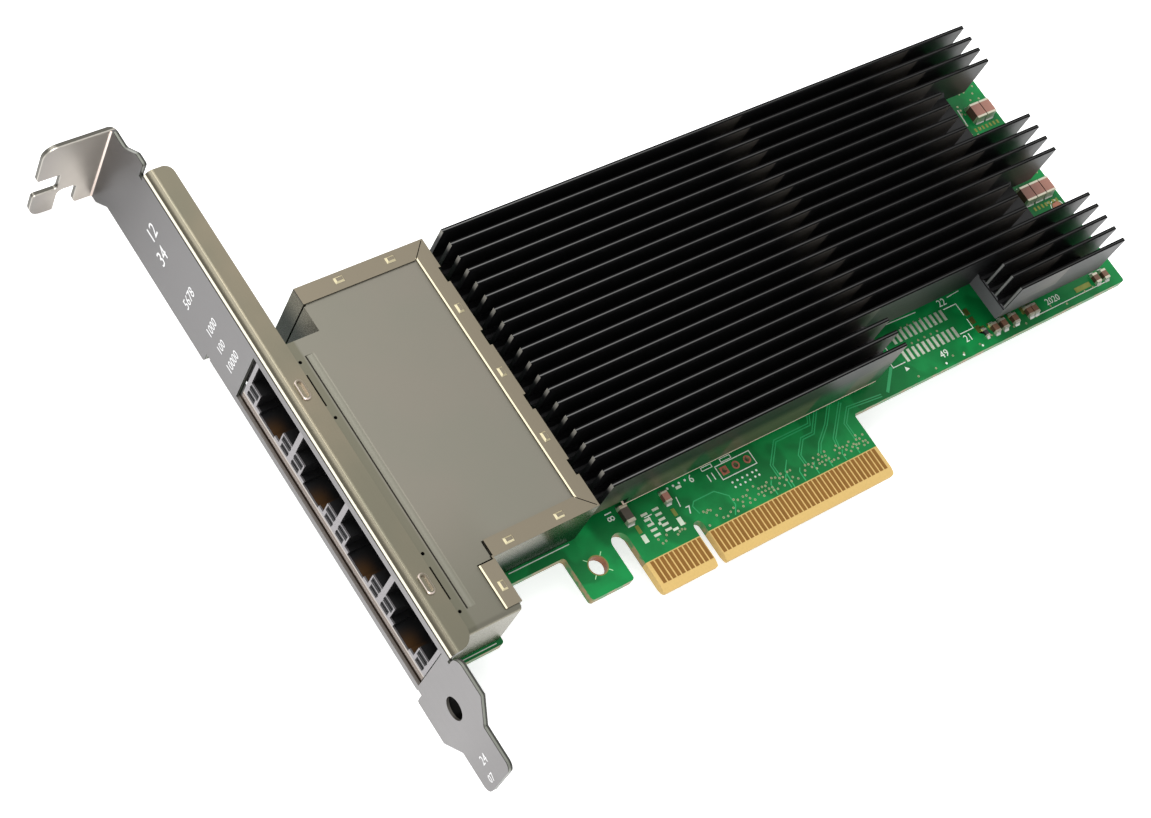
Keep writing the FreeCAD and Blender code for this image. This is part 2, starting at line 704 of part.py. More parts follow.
def make_lip():
    """Sprung lip below the ports, curving back in front of the board's edge."""
    z0 = nose_bottom_z + 0.3
    depth = nose_bottom_z - lip_bottom_z
    steps = 5
    outer = []
    inner = []
    for i in range(steps + 1):
        angle = i / steps * math.pi / 2.6
        x = nose_x + (1 - math.cos(angle)) * lip_curl
        z = nose_bottom_z - depth * math.sin(angle) / math.sin(math.pi / 2.6)
        outer.append((x, z))
        inner.insert(0, (x + shield_sheet, z + 0.05))
    profile = [(nose_x, z0)] + outer + inner + [(nose_x + shield_sheet, z0)]
    return on_xz(profile, jack_front_low_y, jack_front_high_y)


def make_groove():
    """Cutter for the stiffening groove pressed along the top, beside the bracket."""
    x = flange_edge_x + groove_offset
    half = groove_width / 2
    z = cover_top_z
    return on_xz([(x - half, z + 0.1), (x - half + groove_wall, z - groove_depth), (x + half, z),
                  (x + half, z + 0.1)], groove_low_y, groove_high_y)


def make_skirt():
    """Rear shield: a wall round the rear box with mitred rims folded over the cover."""
    wall_path = [
        (jack_step_x, jack_front_low_y + fold_r), (jack_step_x, jack_rear_low_y),
        (jack_rear_x, jack_rear_low_y), (jack_rear_x, jack_rear_high_y),
        (jack_upper_x, jack_rear_high_y), (jack_upper_x, rear_wall_end_y),
    ]
    t = shield_sheet
    top = jack_height
    walls = [
        box(jack_step_x - t, jack_step_x, wall_path[0][1], jack_rear_low_y + t, 0, top),
        box(jack_step_x - t, jack_rear_x, jack_rear_low_y, jack_rear_low_y + t, 0, top),
        box(jack_rear_x - t, jack_rear_x, jack_rear_low_y, jack_rear_high_y, 0, top),
        box(jack_upper_x, jack_rear_x, jack_rear_high_y - t, jack_rear_high_y, 0, top),
        box(jack_upper_x, jack_upper_x + t, wall_path[5][1], jack_rear_high_y, 0, top),
    ]
    w = rim_width
    s = rim_slit / math.sqrt(2)
    x1 = jack_rear_x
    y0 = jack_rear_low_y
    y1 = jack_rear_high_y
    rims = [
        [(jack_step_x, jack_front_low_y + fold_r), (jack_step_x, y0 - rim_slit),
         (jack_step_x - w, y0 - rim_slit), (jack_step_x - w, jack_front_low_y + fold_r)],
        [(jack_step_x, y0), (x1 - t, y0), (x1 - t, y0 + t - s), (x1 - w - s, y0 + w),
         (jack_step_x, y0 + w)],
        [(x1, y0 + t), (x1, y1 - t), (x1 - t, y1 - t), (x1 - w, y1 - w), (x1 - w, y0 + w),
         (x1 - t, y0 + t)],
        [(jack_upper_x, y1), (x1 - t, y1), (x1 - t, y1 - t + s), (x1 - w - s, y1 - w),
         (jack_upper_x, y1 - w)],
    ]
    pieces = walls + [on_xy(rim, top - t, top) for rim in rims]
    for i in range(rim_notch_count - 1):
        y = rim_notch_first_y + (i + 0.5) * rim_notch_pitch
        pieces.append(make_bump(jack_rear_x - bump_inset, y, False))
    for step in bump_steps_x:
        pieces.append(make_bump(jack_rear_x - step, jack_rear_low_y + bump_inset, True))
        pieces.append(make_bump(jack_rear_x - step, jack_rear_high_y - bump_inset, True))
    pieces.append(make_bump(jack_step_x - bump_inset, jack_rear_low_y - bump_foot_step, False))
    skirt = join(pieces)
    notches = []
    for i in range(rim_notch_count):
        y = rim_notch_first_y + i * rim_notch_pitch
        notches.append(box(jack_rear_x - rim_notch_depth, jack_rear_x + 1, y - rim_notch_length / 2,
                           y + rim_notch_length / 2, top - 2.2, top + 1))
    return skirt.cut(notches).removeSplitter()


def make_bump(x, y, across):
    """Small locking bump pressed up from a rim, with sloped sides; across turns it along x."""
    half_x = (bump_length if across else bump_width) / 2
    half_y = (bump_width if across else bump_length) / 2
    rings = []
    for z, inset in ((jack_height - 0.1, 0), (jack_height + bump_height, bump_slope)):
        reach_x = half_x - inset
        reach_y = half_y - inset
        rings.append(Part.makePolygon([vec(x - reach_x, y - reach_y, z), vec(x + reach_x, y - reach_y, z),
                                       vec(x + reach_x, y + reach_y, z), vec(x - reach_x, y + reach_y, z),
                                       vec(x - reach_x, y - reach_y, z)]))
    return Part.makeLoft(rings, True, True)


def make_lenses():
    lenses = []
    for y in port_centres():
        for y0, y1, z0, z1 in light_windows(y):
            lenses.append(box(nose_x + lens_set_back, nose_inner_x, y0 + fit_gap / 2, y1 - fit_gap / 2,
                              z0 + fit_gap / 2, z1 - fit_gap / 2))
    return group(lenses)


def make_module(index):
    """Transformer module behind one port, inside the rear box."""
    low = jack_rear_low_y + shield_sheet + module_gap
    high = jack_rear_high_y - shield_sheet - module_gap
    width = (high - low - (port_count - 1) * module_gap) / port_count
    y = low + index * (width + module_gap)
    x0 = wall_back_x + module_gap
    x1 = jack_rear_x - shield_sheet - module_gap
    z1 = cover_top_z - shield_sheet - module_gap
    lid = box(x0, x1, y, y + width, 0, z1)
    wire_slots = []
    for i in range(4):
        slot_y = y + width * (i + 0.5) / 4
        wire_slots.append(box(x0 - 1, x0 + wire_slot_depth, slot_y - wire_slot_width / 2,
                              slot_y + wire_slot_width / 2, z1 - wire_slot_height, z1 + 1))
    return lid.cut(wire_slots)


def make_jack_pins():
    """Solder pins of the jack, standing out below the board."""
    pins = []
    for index in range(port_count):
        low = jack_rear_low_y + 1.8 + index * (jack_rear_high_y - jack_rear_low_y) / port_count
        for i in range(jack_pins_per_port):
            x = jack_rear_x - 4.0 - (i % 2) * 2.54
            y = low + (i // 2) * 2.3
            pins.append(cone_pin(x, y))
    return group(pins)


def cone_pin(x, y):
    fillet = Part.makeCone(jack_pin_r * 2.2, jack_pin_r, jack_pin_length / 2,
                           vec(x, y, board_bottom_z), vec(0, 0, -1))
    shank = cylinder(jack_pin_r, jack_pin_length, vec(x, y, board_bottom_z), vec(0, 0, -1))
    return join([fillet, shank])


# ---- heat sink ----

def make_heat_sink():
    base_outline = [
        (fin_left, sink_low_y), (cut_left, sink_low_y), (cut_left, cut_top_y),
        (cut_right_base, cut_top_y), (cut_right_base, sink_low_y), (base_end, sink_low_y),
        (base_end, sink_high_y), (fin_left, sink_high_y),
    ]
    pieces = [
        on_xy(base_outline, base_bottom_z, base_top_z),
        box(pedestal_left, cut_left, sink_low_y, sink_high_y, pedestal_bottom_z, base_bottom_z),
    ]
    half_gap = fin_pitch - fin_thickness / 2
    for i in range(fin_count):
        y = fin_first_y - i * fin_pitch
        runs = [(fin_left, fin_tip)]
        if any(first <= i <= last for first, last in short_groups):
            runs = [(fin_left, fin_short_end)]
        if i >= fin_count - cut_fins:
            runs = [(fin_left, cut_left), (cut_right_fin, fin_tip)]
        half = fin_thickness / 2
        foot = fin_thickness / 2 + fin_root
        outer_low = half if i == fin_count - 1 else foot
        outer_high = half if i == 0 else foot
        for x0, x1 in runs:
            pieces.append(box(x0, x1, y - half, y + half, base_bottom_z, fin_top_z))
            pieces.append(on_yz([(y - outer_low, base_bottom_z), (y + outer_high, base_bottom_z),
                                 (y + outer_high, base_top_z), (y + half, base_top_z + outer_high - half),
                                 (y - half, base_top_z + outer_low - half), (y - outer_low, base_top_z)],
                                x0, min(x1, base_end)))
    for x, y in screw_places:
        pieces.append(cylinder(standoff_r, base_top_z - 0.5, vec(x, y, 0), vec(0, 0, 1)))
    sink = join(pieces)
    holes = [box(cut_left, cut_right_base, sink_low_y - 1, cut_top_y, 0, base_top_z + fin_root + 1)]
    for first, last in short_groups:
        holes.append(box(base_short_end, base_end + 1, fin_first_y - last * fin_pitch - half_gap,
                         fin_first_y - first * fin_pitch + half_gap, 0, fin_top_z + 1))
    for x, y in screw_places:
        holes.append(cylinder(screw_r + 0.02, screw_engagement + 0.4, vec(x, y, -0.1), vec(0, 0, 1)))
    return sink.cut(holes)


def make_thermal_pad():
    return box(pedestal_left, cut_left, sink_low_y + 0.05, sink_high_y - 0.05, chip_top_z,
               pedestal_bottom_z)


def make_screws():
    """Screws from the solder side that pull the heat sink down on the board."""
    screws = []
    for x, y in screw_places:
        head = cylinder(screw_head_r, screw_head_height, vec(x, y, board_bottom_z), vec(0, 0, -1))
        shank = cylinder(screw_r, board_thickness + screw_engagement, vec(x, y, board_bottom_z),
                         vec(0, 0, 1))
        slot = box(x - screw_head_r, x + screw_head_r, y - 0.3, y + 0.3,
                   board_bottom_z - screw_head_height - 1, board_bottom_z - screw_head_height + 0.5)
        cross = box(x - 0.3, x + 0.3, y - screw_head_r, y + screw_head_r,
                    board_bottom_z - screw_head_height - 1, board_bottom_z - screw_head_height + 0.5)
        recess = slot.fuse(cross).common(cylinder(screw_head_r * 0.6, 3,
                                                  vec(x, y, board_bottom_z - screw_head_height - 1),
                                                  vec(0, 0, 1)))
        screws.append(join([head, shank]).cut(recess))
    return group(screws)


# ---- chips and small parts ----

def package(x, y, size, top_z):
    """Flat package: a substrate seated on the board, with a smaller moulded top."""
    half = size / 2
    inner = half - chip_edge
    low = box(x - half, x + half, y - half, y + half, 0, substrate_height)
    high = box(x - inner, x + inner, y - inner, y + inner, substrate_height, top_z)
    return join([low, high])


def make_inductors():
    """Power inductors: a square base with a chamfered moulded body and a round core."""
    coils = []
    half = inductor_size / 2
    for y in power_rows_y:
        x = inductor_x
        body = on_xy([(x - half, y - half, 1.0), (x + half, y - half, 1.0), (x + half, y + half, 1.0),
                      (x - half, y + half, 1.0)], 0, inductor_height - 0.4)
        core = cylinder(inductor_core_r, inductor_height, vec(x, y, 0), vec(0, 0, 1))
        coils.append(join([body, core]))
    return group(coils)


def make_crystal():
    half_x = crystal_width / 2
    half_y = crystal_length / 2
    outline = rectangle(crystal_x - half_x, crystal_x + half_x, crystal_y - half_y,
                        crystal_y + half_y, 0.5)
    return on_xy(outline, 0, crystal_height)


def chip_part(x, y, along_y, length, width, height):
    """Chip component with its length along y or x."""
    dx = (width if along_y else length) / 2
    dy = (length if along_y else width) / 2
    return box(x - dx, x + dx, y - dy, y + dy, 0, height)


def make_bulk_capacitors():
    parts = []
    for y, count in zip(bulk_bank_rows_y, bulk_bank_counts):
        for i in range(count):
            x = board_right - bulk_cap_margin - i * bulk_cap_pitch
            parts.append(chip_part(x, y, True, bulk_cap_length, bulk_cap_width, bulk_cap_height))
    return group(parts)


def make_underside_capacitors():
    """Decoupling capacitors on the solder side: a block under each network chip and a ring
    under the controller."""
    length, width, height = under_cap_size
    places = []
    for port in range(port_count):
        y = phy_first_y + port * phy_pitch
        for i in range(3):
            places.append((phy_x + (i - 1) * under_cap_pitch, y - under_cap_pitch / 2))
            places.append((phy_x + (i - 1) * under_cap_pitch, y + under_cap_pitch / 2))
    for i in range(under_cap_ring_count):
        offset = (i - (under_cap_ring_count - 1) / 2) * under_cap_pitch
        reach = controller_size / 3
        places.append((controller_x + offset, controller_y - reach))
        places.append((controller_x + offset, controller_y + reach))
    return group([box(x - length / 2, x + length / 2, y - width / 2, y + width / 2,
                      board_bottom_z - height, board_bottom_z) for x, y in places])


def make_header_pads():
    """Bare solder pads: two rows for a connector and two columns beside the short tab."""
    pads = []
    for row in range(2):
        y = header_row_low_y + row * header_row_gap
        for i in range(header_pins):
            x = header_first_x + i * header_pitch
            pads.append(box(x - header_pad_width / 2, x + header_pad_width / 2,
                            y - header_pad_length / 2, y + header_pad_length / 2,
                            0, header_pad_height))
    for x in side_pad_columns_x:
        for i in range(side_pad_count):
            y = side_pad_low_y + i * side_pad_pitch
            pads.append(box(x - side_pad_length / 2, x + side_pad_length / 2, y - side_pad_width / 2,
                            y + side_pad_width / 2, 0, finger_thickness))
    return group(pads)


def make_jumper_pads():
    pads = []
    for i in range(3):
        x = jumper_first_x + i * jumper_pitch
        half = jumper_pad / 2
        if i == 0:
            pad = box(x - half, x + half, jumper_y - half, jumper_y + half, 0, finger_thickness)
        else:
            pad = cylinder(half, finger_thickness, vec(x, jumper_y, 0), vec(0, 0, 1))
        pads.append(pad.cut(cylinder(jumper_bore_r, 1, vec(x, jumper_y, -0.5), vec(0, 0, 1))))
    return group(pads)


def make_edge_capacitors():
    """Small ceramic capacitors along the lower edge, right of the connector."""
    places = [header_last_x + step for step in edge_part_steps]
    places += [board_right - step for step in end_part_steps]
    return group([chip_part(x, edge_part_y, True, *edge_part_size) for x in places])


def main():
    os.makedirs("parts", exist_ok=True)
    save("circuit_board", make_board())
    save("edge_contacts_front", make_fingers(0))
    save("edge_contacts_back", make_fingers(board_bottom_z - finger_thickness))
    save("bracket", make_bracket())
    save("shield_cover", make_cover())
    save("shield_skirt", make_skirt())
    save("jack_housing", make_housing())
    save("indicator_lenses", make_lenses())
    for i, y in enumerate(port_centres()):
        save("port_contacts_%d" % (i + 1), make_contacts(y))
        save("magnetics_module_%d" % (i + 1), make_module(i))
        save("phy_chip_%d" % (i + 1), package(phy_x, phy_first_y + i * phy_pitch, phy_size, chip_top_z))
    save("jack_pins", make_jack_pins())
    save("heat_sink", make_heat_sink())
    save("heat_sink_screws", make_screws())
    save("thermal_pad", make_thermal_pad())
    save("controller_chip", package(controller_x, controller_y, controller_size, chip_top_z))
    save("power_inductors", make_inductors())
    save("flash_chip", package(flash_x, flash_y, flash_size, flash_top_z))
    save("clock_crystal", make_crystal())
    save("regulator_chips", group([package(regulator_x, y, regulator_size, regulator_top_z)
                                   for y in power_rows_y]))
    save("bulk_capacitors", make_bulk_capacitors())
    save("edge_capacitors", make_edge_capacitors())
    save("underside_capacitors", make_underside_capacitors())
    save("ferrite_bead", chip_part(bead_x, bead_y, True, *bead_size))
    save("bypass_capacitor", chip_part(bypass_x, bypass_y, True, *edge_part_size))
    save("chip_resistor", chip_part(header_last_x + resistor_step, edge_part_y, True, *resistor_size))
    save("connector_pads", make_header_pads())
    save("jumper_pads", make_jumper_pads())


main()
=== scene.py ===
import math
import random

import bpy
from bpy.props import FloatProperty, FloatVectorProperty, IntProperty, PointerProperty
from mathutils import Euler, Matrix, Vector


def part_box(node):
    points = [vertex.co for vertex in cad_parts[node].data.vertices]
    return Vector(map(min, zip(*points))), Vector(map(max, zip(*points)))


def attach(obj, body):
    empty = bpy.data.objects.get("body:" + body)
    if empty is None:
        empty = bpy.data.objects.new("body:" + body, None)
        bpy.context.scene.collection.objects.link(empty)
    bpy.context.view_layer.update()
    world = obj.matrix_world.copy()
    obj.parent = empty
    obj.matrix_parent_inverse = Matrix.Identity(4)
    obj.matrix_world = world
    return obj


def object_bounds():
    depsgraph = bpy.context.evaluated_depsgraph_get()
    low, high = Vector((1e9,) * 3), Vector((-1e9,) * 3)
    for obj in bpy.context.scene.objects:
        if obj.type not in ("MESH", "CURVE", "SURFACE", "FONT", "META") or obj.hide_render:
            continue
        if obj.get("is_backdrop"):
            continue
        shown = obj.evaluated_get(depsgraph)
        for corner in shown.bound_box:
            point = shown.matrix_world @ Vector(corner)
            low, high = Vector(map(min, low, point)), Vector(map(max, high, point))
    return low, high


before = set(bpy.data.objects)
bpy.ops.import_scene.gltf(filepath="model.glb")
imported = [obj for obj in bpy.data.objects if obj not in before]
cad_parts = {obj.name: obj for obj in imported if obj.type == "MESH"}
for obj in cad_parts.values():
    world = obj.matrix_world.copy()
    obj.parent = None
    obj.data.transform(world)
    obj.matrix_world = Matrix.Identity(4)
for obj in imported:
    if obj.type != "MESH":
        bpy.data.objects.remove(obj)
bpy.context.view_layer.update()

bl_info = {
    "name": "Network card finish",
    "version": (1, 1, 0),
    "blender": (4, 5, 0),
    "location": "View3D > Sidebar > Network card",
    "description": "Dresses a four-port network card with its finishes and small details",
    "category": "Object",
}

MM = 0.001
SEAM = 0.01  # blocks closer than this are one


# ---- where the solids are, in millimetres ----

def ends(node):
    """Lowest and highest corner of a node, in millimetres."""
    low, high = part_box(node)
    return Vector(low) / MM, Vector(high) / MM


def middle_y(node):
    """Middle of a node along y, in millimetres."""
    low, high = ends(node)
    return (low.y + high.y) / 2


def blocks(node):
    """Lowest and highest corner of each separate block of a node, in millimetres."""
    found = []
    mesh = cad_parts[node].data
    for face in mesh.polygons:
        corners = [mesh.vertices[i].co / MM for i in face.vertices]
        low = Vector(min(c[axis] for c in corners) for axis in range(3))
        high = Vector(max(c[axis] for c in corners) for axis in range(3))
        apart = []
        for block in found:
            if all(low[i] < block[1][i] + SEAM and block[0][i] < high[i] + SEAM for i in range(3)):
                low = Vector(min(pair) for pair in zip(low, block[0]))
                high = Vector(max(pair) for pair in zip(high, block[1]))
            else:
                apart.append(block)
        found = apart + [(low, high)]
    return sorted(found, key=lambda block: block[0].x)


BOARD_LOW = ends("circuit_board")[0]
BRACKET_LOW, BRACKET_HIGH = ends("bracket")
COVER_LOW = ends("shield_cover")[0]
SKIRT_HIGH = ends("shield_skirt")[1]
SINK_LOW, SINK_HIGH = ends("heat_sink")
FINGERS_LOW, FINGERS_HIGH = ends("edge_contacts_front")
PINS_LOW, PINS_HIGH = ends("jack_pins")
JUMPER_LOW, JUMPER_HIGH = ends("jumper_pads")
PORTS_Y = [middle_y(f"port_contacts_{port}") for port in (1, 2, 3, 4)]
PORT_PITCH = PORTS_Y[1] - PORTS_Y[0]
CHIPS_Y = [middle_y(f"phy_chip_{port}") for port in (1, 2, 3, 4)]
HEADER = [block for block in blocks("connector_pads") if block[0].x > FINGERS_HIGH.x]
HEADER_LOW = Vector(min(low[i] for low, high in HEADER) for i in range(3))
HEADER_HIGH = Vector(max(high[i] for low, high in HEADER) for i in range(3))

FACE_X = COVER_LOW.x - 0.1  # outer face of the bracket's panel
SHEET = 0.86  # thickness of the bracket
BEND_R = 1.46  # outside of the bracket's bends
FLANGE_Z = 12.0
FLANGE_ENDS_Y = (3.9, 95.0)
EAR_Y = BRACKET_HIGH.y - SHEET
GROOVE_X = -50.5  # left wall of the groove in the cover
GROOVE_ENDS_Y = (9.3, 56.4)
HOLE_Y, HOLE_Z, HOLE_R = -1.5, 3.35, 2.35  # round hole in the panel
TOOLING_X, TOOLING_Y, TOOLING_R = -20.25, 9.0, 1.6
FIN_PITCH = 2.655
FIN_WIDTH = 0.7
FIN_ENDS = ((88.1, 12.0), (46.5, 9.0))  # x where shorter fins end, and how far back from there their flanks are painted light
RIM_Z = 12.0  # top of the rims folded over the shield's cover
RIM_WIDTH = 3.1
REAR_LOW_Y = 14.6  # lower side of the shield's rear box
STEP_X = -42.1  # the shield narrows here, below its rear box
PORT_HALF = 6.15  # half the width of a port's mouth
BANK_ROWS_Y = (54.7, 35.5)  # middles of the two banks of capacitors
MARK_X, MARK_Y = 108.4, 31.1  # round copper mark at the far end

# how far thin things rise from the board or the bracket
TRACK_RISE = 0.02
VIA_RISE = 0.04
PRINT_RISE = 0.03
PAD_RISE = 0.06
FIGURE_SIZE = 1.35  # type size of a figure that stands one high
SHARPEST = 0.3  # a mitred corner is cut short below this cosine

FILLET_DEPTH = 0.45
FILLET_SHARE = 0.75  # of the height of the part that it holds

FLOOR_TONE = 0.82
FLOOR_GLOW = 0.62  # lifts the floor to white where it is seen

# faces of the card: how a drawing is turned to lie on one, and how far out that face is
FRONT = ((0, 0, 0), 0)
BACK = ((0, math.pi, 0), -BOARD_LOW.z)
PANEL = ((0, -math.pi / 2, 0), -FACE_X)


# ---- settings a user would change ----

def shade(red, green, blue):
    """A colour given as it shows, from 0 to 255, as the linear colour that a shader takes."""
    return tuple(((c / 255 + 0.055) / 1.055) ** 2.4 if c > 10 else c / 255 / 12.92
                 for c in (red, green, blue))


def tint(name, about, red, green, blue):
    return FloatVectorProperty(name=name, description=about, subtype="COLOR", size=3, min=0, max=1,
                               default=shade(red, green, blue))


class CardFinish(bpy.types.PropertyGroup):
    mask_colour: tint("Solder mask", "Colour of the board's lacquer", 4, 108, 50)
    pour_colour: tint("Mask over copper", "Lacquer where copper lies under it", 12, 134, 66)
    laminate_colour: tint("Laminate", "Bare laminate at the board's bevelled edge", 206, 174, 108)
    gold_colour: tint("Gold", "Plating of the contacts", 156, 112, 56)
    bracket_colour: tint("Bracket", "Nickel plating of the bracket", 139, 137, 137)
    shield_colour: tint("Shield", "Tin plating of the jack's shield", 125, 123, 112)
    sink_colour: tint("Heat sink", "Black anodising of the heat sink", 12, 12, 13)
    print_colour: tint("Printing", "Ink of the printed lines and numbers", 226, 232, 222)
    pad_colour: tint("Bare pads", "Tinned pads with no part on them", 214, 228, 206)


def millimetres(name, about, usual, least, most):
    return FloatProperty(name=name, description=about + ", in millimetres", default=usual,
                         min=least, max=most)


class CardDetail(bpy.types.PropertyGroup):
    track_width: millimetres("Track width", "Width of one copper track", 0.2, 0.05, 1)
    pair_gap: millimetres("Pair spacing", "Distance between the two tracks of a pair", 0.45, 0.1, 2)
    via_size: millimetres("Via size", "Outside of a plated hole", 0.44, 0.2, 2)
    line_width: millimetres("Printed line", "Width of a printed line", 0.16, 0.05, 1)
    number_size: millimetres("Number size", "Height of the printed numbers", 1.5, 0.5, 5)
    seed: IntProperty(name="Seed", description="Order of the scattered plated holes", default=7)


class CardStage(bpy.types.PropertyGroup):
    camera_place: FloatVectorProperty(
        name="Camera place", description="Where the camera stands, in the part's frame",
        subtype="TRANSLATION", unit="LENGTH", size=3, default=(-0.2197, -0.0685, 0.3264))
    camera_turn: FloatVectorProperty(
        name="Camera turn", description="Camera angles about X, Y and Z", subtype="EULER",
        size=3, default=(math.radians(30.738), math.radians(-19.468), math.radians(-34.915)))
    lens: millimetres("Lens", "Focal length on a 36 mm wide sensor", 76.65, 20, 200)
    floor_size: FloatProperty(
        name="Floor size", description="Side of the square floor", unit="LENGTH", default=6.0,
        min=1.0)
    sky: FloatProperty(
        name="Sky", description="Strength of the even light from all round", default=0.62, min=0,
        max=4)


# ---- shader maths written as expressions ----

def feed(tree, socket, value):
    """Links a socket to a wire or to another socket, or sets its own value."""
    if isinstance(value, Wire):
        value = value.socket
    if isinstance(value, bpy.types.NodeSocket):
        tree.links.new(value, socket)
    elif socket.type == "RGBA":
        socket.default_value = tuple(value) + (1,)
    else:
        socket.default_value = value


def add_node(tree, kind, values=None, **settings):
    """Adds a node: settings are set first, then the values or links of its sockets."""
    node = tree.nodes.new(kind)
    for key, value in settings.items():
        setattr(node, key, value)
    for key, value in (values or {}).items():
        feed(tree, node.inputs[key], value)
    return node


class Wire:
    """A node socket that adds Math nodes when it is used in an expression."""

    def __init__(self, tree, socket):
        self.tree = tree
        self.socket = socket

    def math(self, operation, *others):
        node = add_node(self.tree, "ShaderNodeMath", dict(enumerate((self,) + others)),
                        operation=operation)
        return Wire(self.tree, node.outputs[0])

    def __add__(self, other):
        return self.math("ADD", other)

    __radd__ = __add__

    def __mul__(self, other):
        return self.math("MULTIPLY", other)

    __rmul__ = __mul__

    def __sub__(self, other):
        return self.math("SUBTRACT", other)

    def __rsub__(self, other):
        return (self * -1) + other

    def __lt__(self, other):
        return self.math("LESS_THAN", other)

    def __gt__(self, other):
        return self.math("GREATER_THAN", other)

    def __abs__(self):
        return self.math("ABSOLUTE")

    def __mod__(self, other):
        return self.math("FLOORED_MODULO", other)

    def either(self, other):
        return self.math("MAXIMUM", other)

    def near(self, centre, half):
        """One where this value lies within half of centre, and nought elsewhere."""
        return abs(self - centre) < half

    def between(self, low, high):
        return self.near((low + high) / 2, (high - low) / 2)

    def from_nearest(self, first, pitch):
        """How far this value lies below or above the nearest place of an even row."""
        return ((self - (first - pitch / 2)) % pitch) - pitch / 2

    def soft(self, low, high):
        """Nought below low, one above high, with a smooth change between."""
        node = add_node(self.tree, "ShaderNodeMapRange",
                        {"Value": self, "From Min": low, "From Max": high},
                        interpolation_type="SMOOTHSTEP")
        return Wire(self.tree, node.outputs["Result"])


class Finish:
    """One material under construction, with the colour that it has so far."""

    def __init__(self, name):
        self.material = bpy.data.materials.new(name)
        self.material.use_nodes = True
        self.tree = self.material.node_tree
        self.colour = None
        coordinates = add_node(self.tree, "ShaderNodeTexCoord")
        self.place = self.stretched(coordinates.outputs["Object"], (1 / MM, 1 / MM, 1 / MM))
        self.x, self.y, self.z = self.parts(self.place)
        geometry = add_node(self.tree, "ShaderNodeNewGeometry")
        self.facing_x, self.facing_y, self.facing_z = self.parts(geometry.outputs["Normal"])

    def parts(self, vector):
        node = add_node(self.tree, "ShaderNodeSeparateXYZ", {"Vector": vector})
        return [Wire(self.tree, socket) for socket in node.outputs]

    def stretched(self, place, times):
        node = add_node(self.tree, "ShaderNodeVectorMath", {0: place, 1: times},
                        operation="MULTIPLY")
        return node.outputs["Vector"]

    def noise(self, scale, detail=3.0, stretch=(1, 1, 1)):
        node = add_node(self.tree, "ShaderNodeTexNoise", {
            "Vector": self.stretched(self.place, stretch), "Scale": scale, "Detail": detail})
        return Wire(self.tree, node.outputs["Fac"])

    def cells(self, scale, stretch=(1, 1, 1)):
        """Distance to the nearest of many scattered points, in square steps."""
        node = add_node(self.tree, "ShaderNodeTexVoronoi", {
            "Vector": self.stretched(self.place, stretch), "Scale": scale}, distance="CHEBYCHEV")
        return Wire(self.tree, node.outputs["Distance"])

    def mix(self, mask, first, second):
        """Colour that goes from first to second as the mask goes from nought to one."""
        node = add_node(self.tree, "ShaderNodeMix", {"Factor": mask, 6: first, 7: second},
                        data_type="RGBA")
        return node.outputs[2]

    def paint(self, mask, over):
        """Lays another colour over the one so far, as far as the mask lets it through."""
        self.colour = self.mix(mask, self.colour, over)

    def done(self, bump=None, **values):
        """The material, with the values of more sockets and a bump of (height, millimetres)."""
        shader = self.tree.nodes["Principled BSDF"]
        feed(self.tree, shader.inputs["Base Color"], self.colour)
        for key, value in values.items():
            socket = shader.inputs[key.replace("_", " ").title().replace("Ior", "IOR")]
            feed(self.tree, socket, value)
        if bump is not None:
            height, depth = bump
            raised = add_node(self.tree, "ShaderNodeBump",
                              {"Height": height, "Distance": depth * MM})
            feed(self.tree, shader.inputs["Normal"], raised.outputs["Normal"])
        return self.material


def distance(first, second):
    """Length of a step that is given by its two parts."""
    return (first * first + second * second).math("SQRT")


def paler(colour, times):
    return tuple(min(1.0, c * times) for c in colour)


# ---- finishes of the solids ----

def board_finish(finish):
    """Green lacquer over copper, bare bevelled laminate below the contacts, and a plated hole."""
    made = Finish("solder_mask")
    back = made.facing_z < -0.5
    pours = made.noise(0.09, 2.0).soft(0.47, 0.53)
    routed = made.cells(0.55, (1, 1.7, 1)).between(0.30, 0.42)
    routed = routed * (1 - made.noise(0.12, 1.0).soft(0.5, 0.55))
    copper = (pours * 0.8).either(routed * back)
    made.colour = made.mix(copper, finish.mask_colour, finish.pour_colour)
    made.paint(made.noise(0.25, 3.0).soft(0.35, 0.75) * 0.45, paler(finish.mask_colour, 0.66))
    weave = made.noise(3.0, 2.0)
    laminate = made.mix(weave * 0.5, finish.laminate_colour, paler(finish.laminate_colour, 0.7))
    edge = abs(made.facing_z) < 0.5
    made.paint(edge, made.mix(made.noise(0.5, 2.0).soft(0.4, 0.6), shade(58, 128, 68),
                              shade(146, 128, 88)))
    contact_zone = made.x.between(FINGERS_LOW.x - 0.8, FINGERS_HIGH.x + 0.8) * (
        made.y < FINGERS_HIGH.y + 0.2)
    made.paint(contact_zone, laminate)
    # the tooling hole: copper wall, a ring of bare copper and its four marks
    far = distance(made.x - TOOLING_X, made.y - TOOLING_Y)
    made.paint(edge * (far < TOOLING_R + 0.1), shade(150, 96, 60))
    flat = 1 - edge
    made.paint(flat * (far < TOOLING_R + 0.22), shade(128, 116, 66))
    fanned = abs(abs(made.x - TOOLING_X) - abs(made.y - TOOLING_Y)) < 0.1
    marks = fanned * far.between(TOOLING_R + 0.25, TOOLING_R + 1.0) * flat
    made.paint(marks, shade(170, 222, 170))
    return made.done(roughness=contact_zone * 0.15 + weave * 0.08 + 0.32, specular_ior_level=0.22,
                     bump=(copper * 0.5 + made.noise(1.2, 2.0) * 0.2, 0.02))


def gold_finish(name, colour):
    made = Finish(name)
    tone = made.noise(0.8, 3.0, (1, 0.3, 1))
    made.colour = made.mix(tone, colour, paler(colour, 0.65))
    return made.done(metallic=0.85, roughness=made.noise(2.0) * 0.2 + 0.25,
                     bump=(made.noise(4.0, 2.0), 0.01))


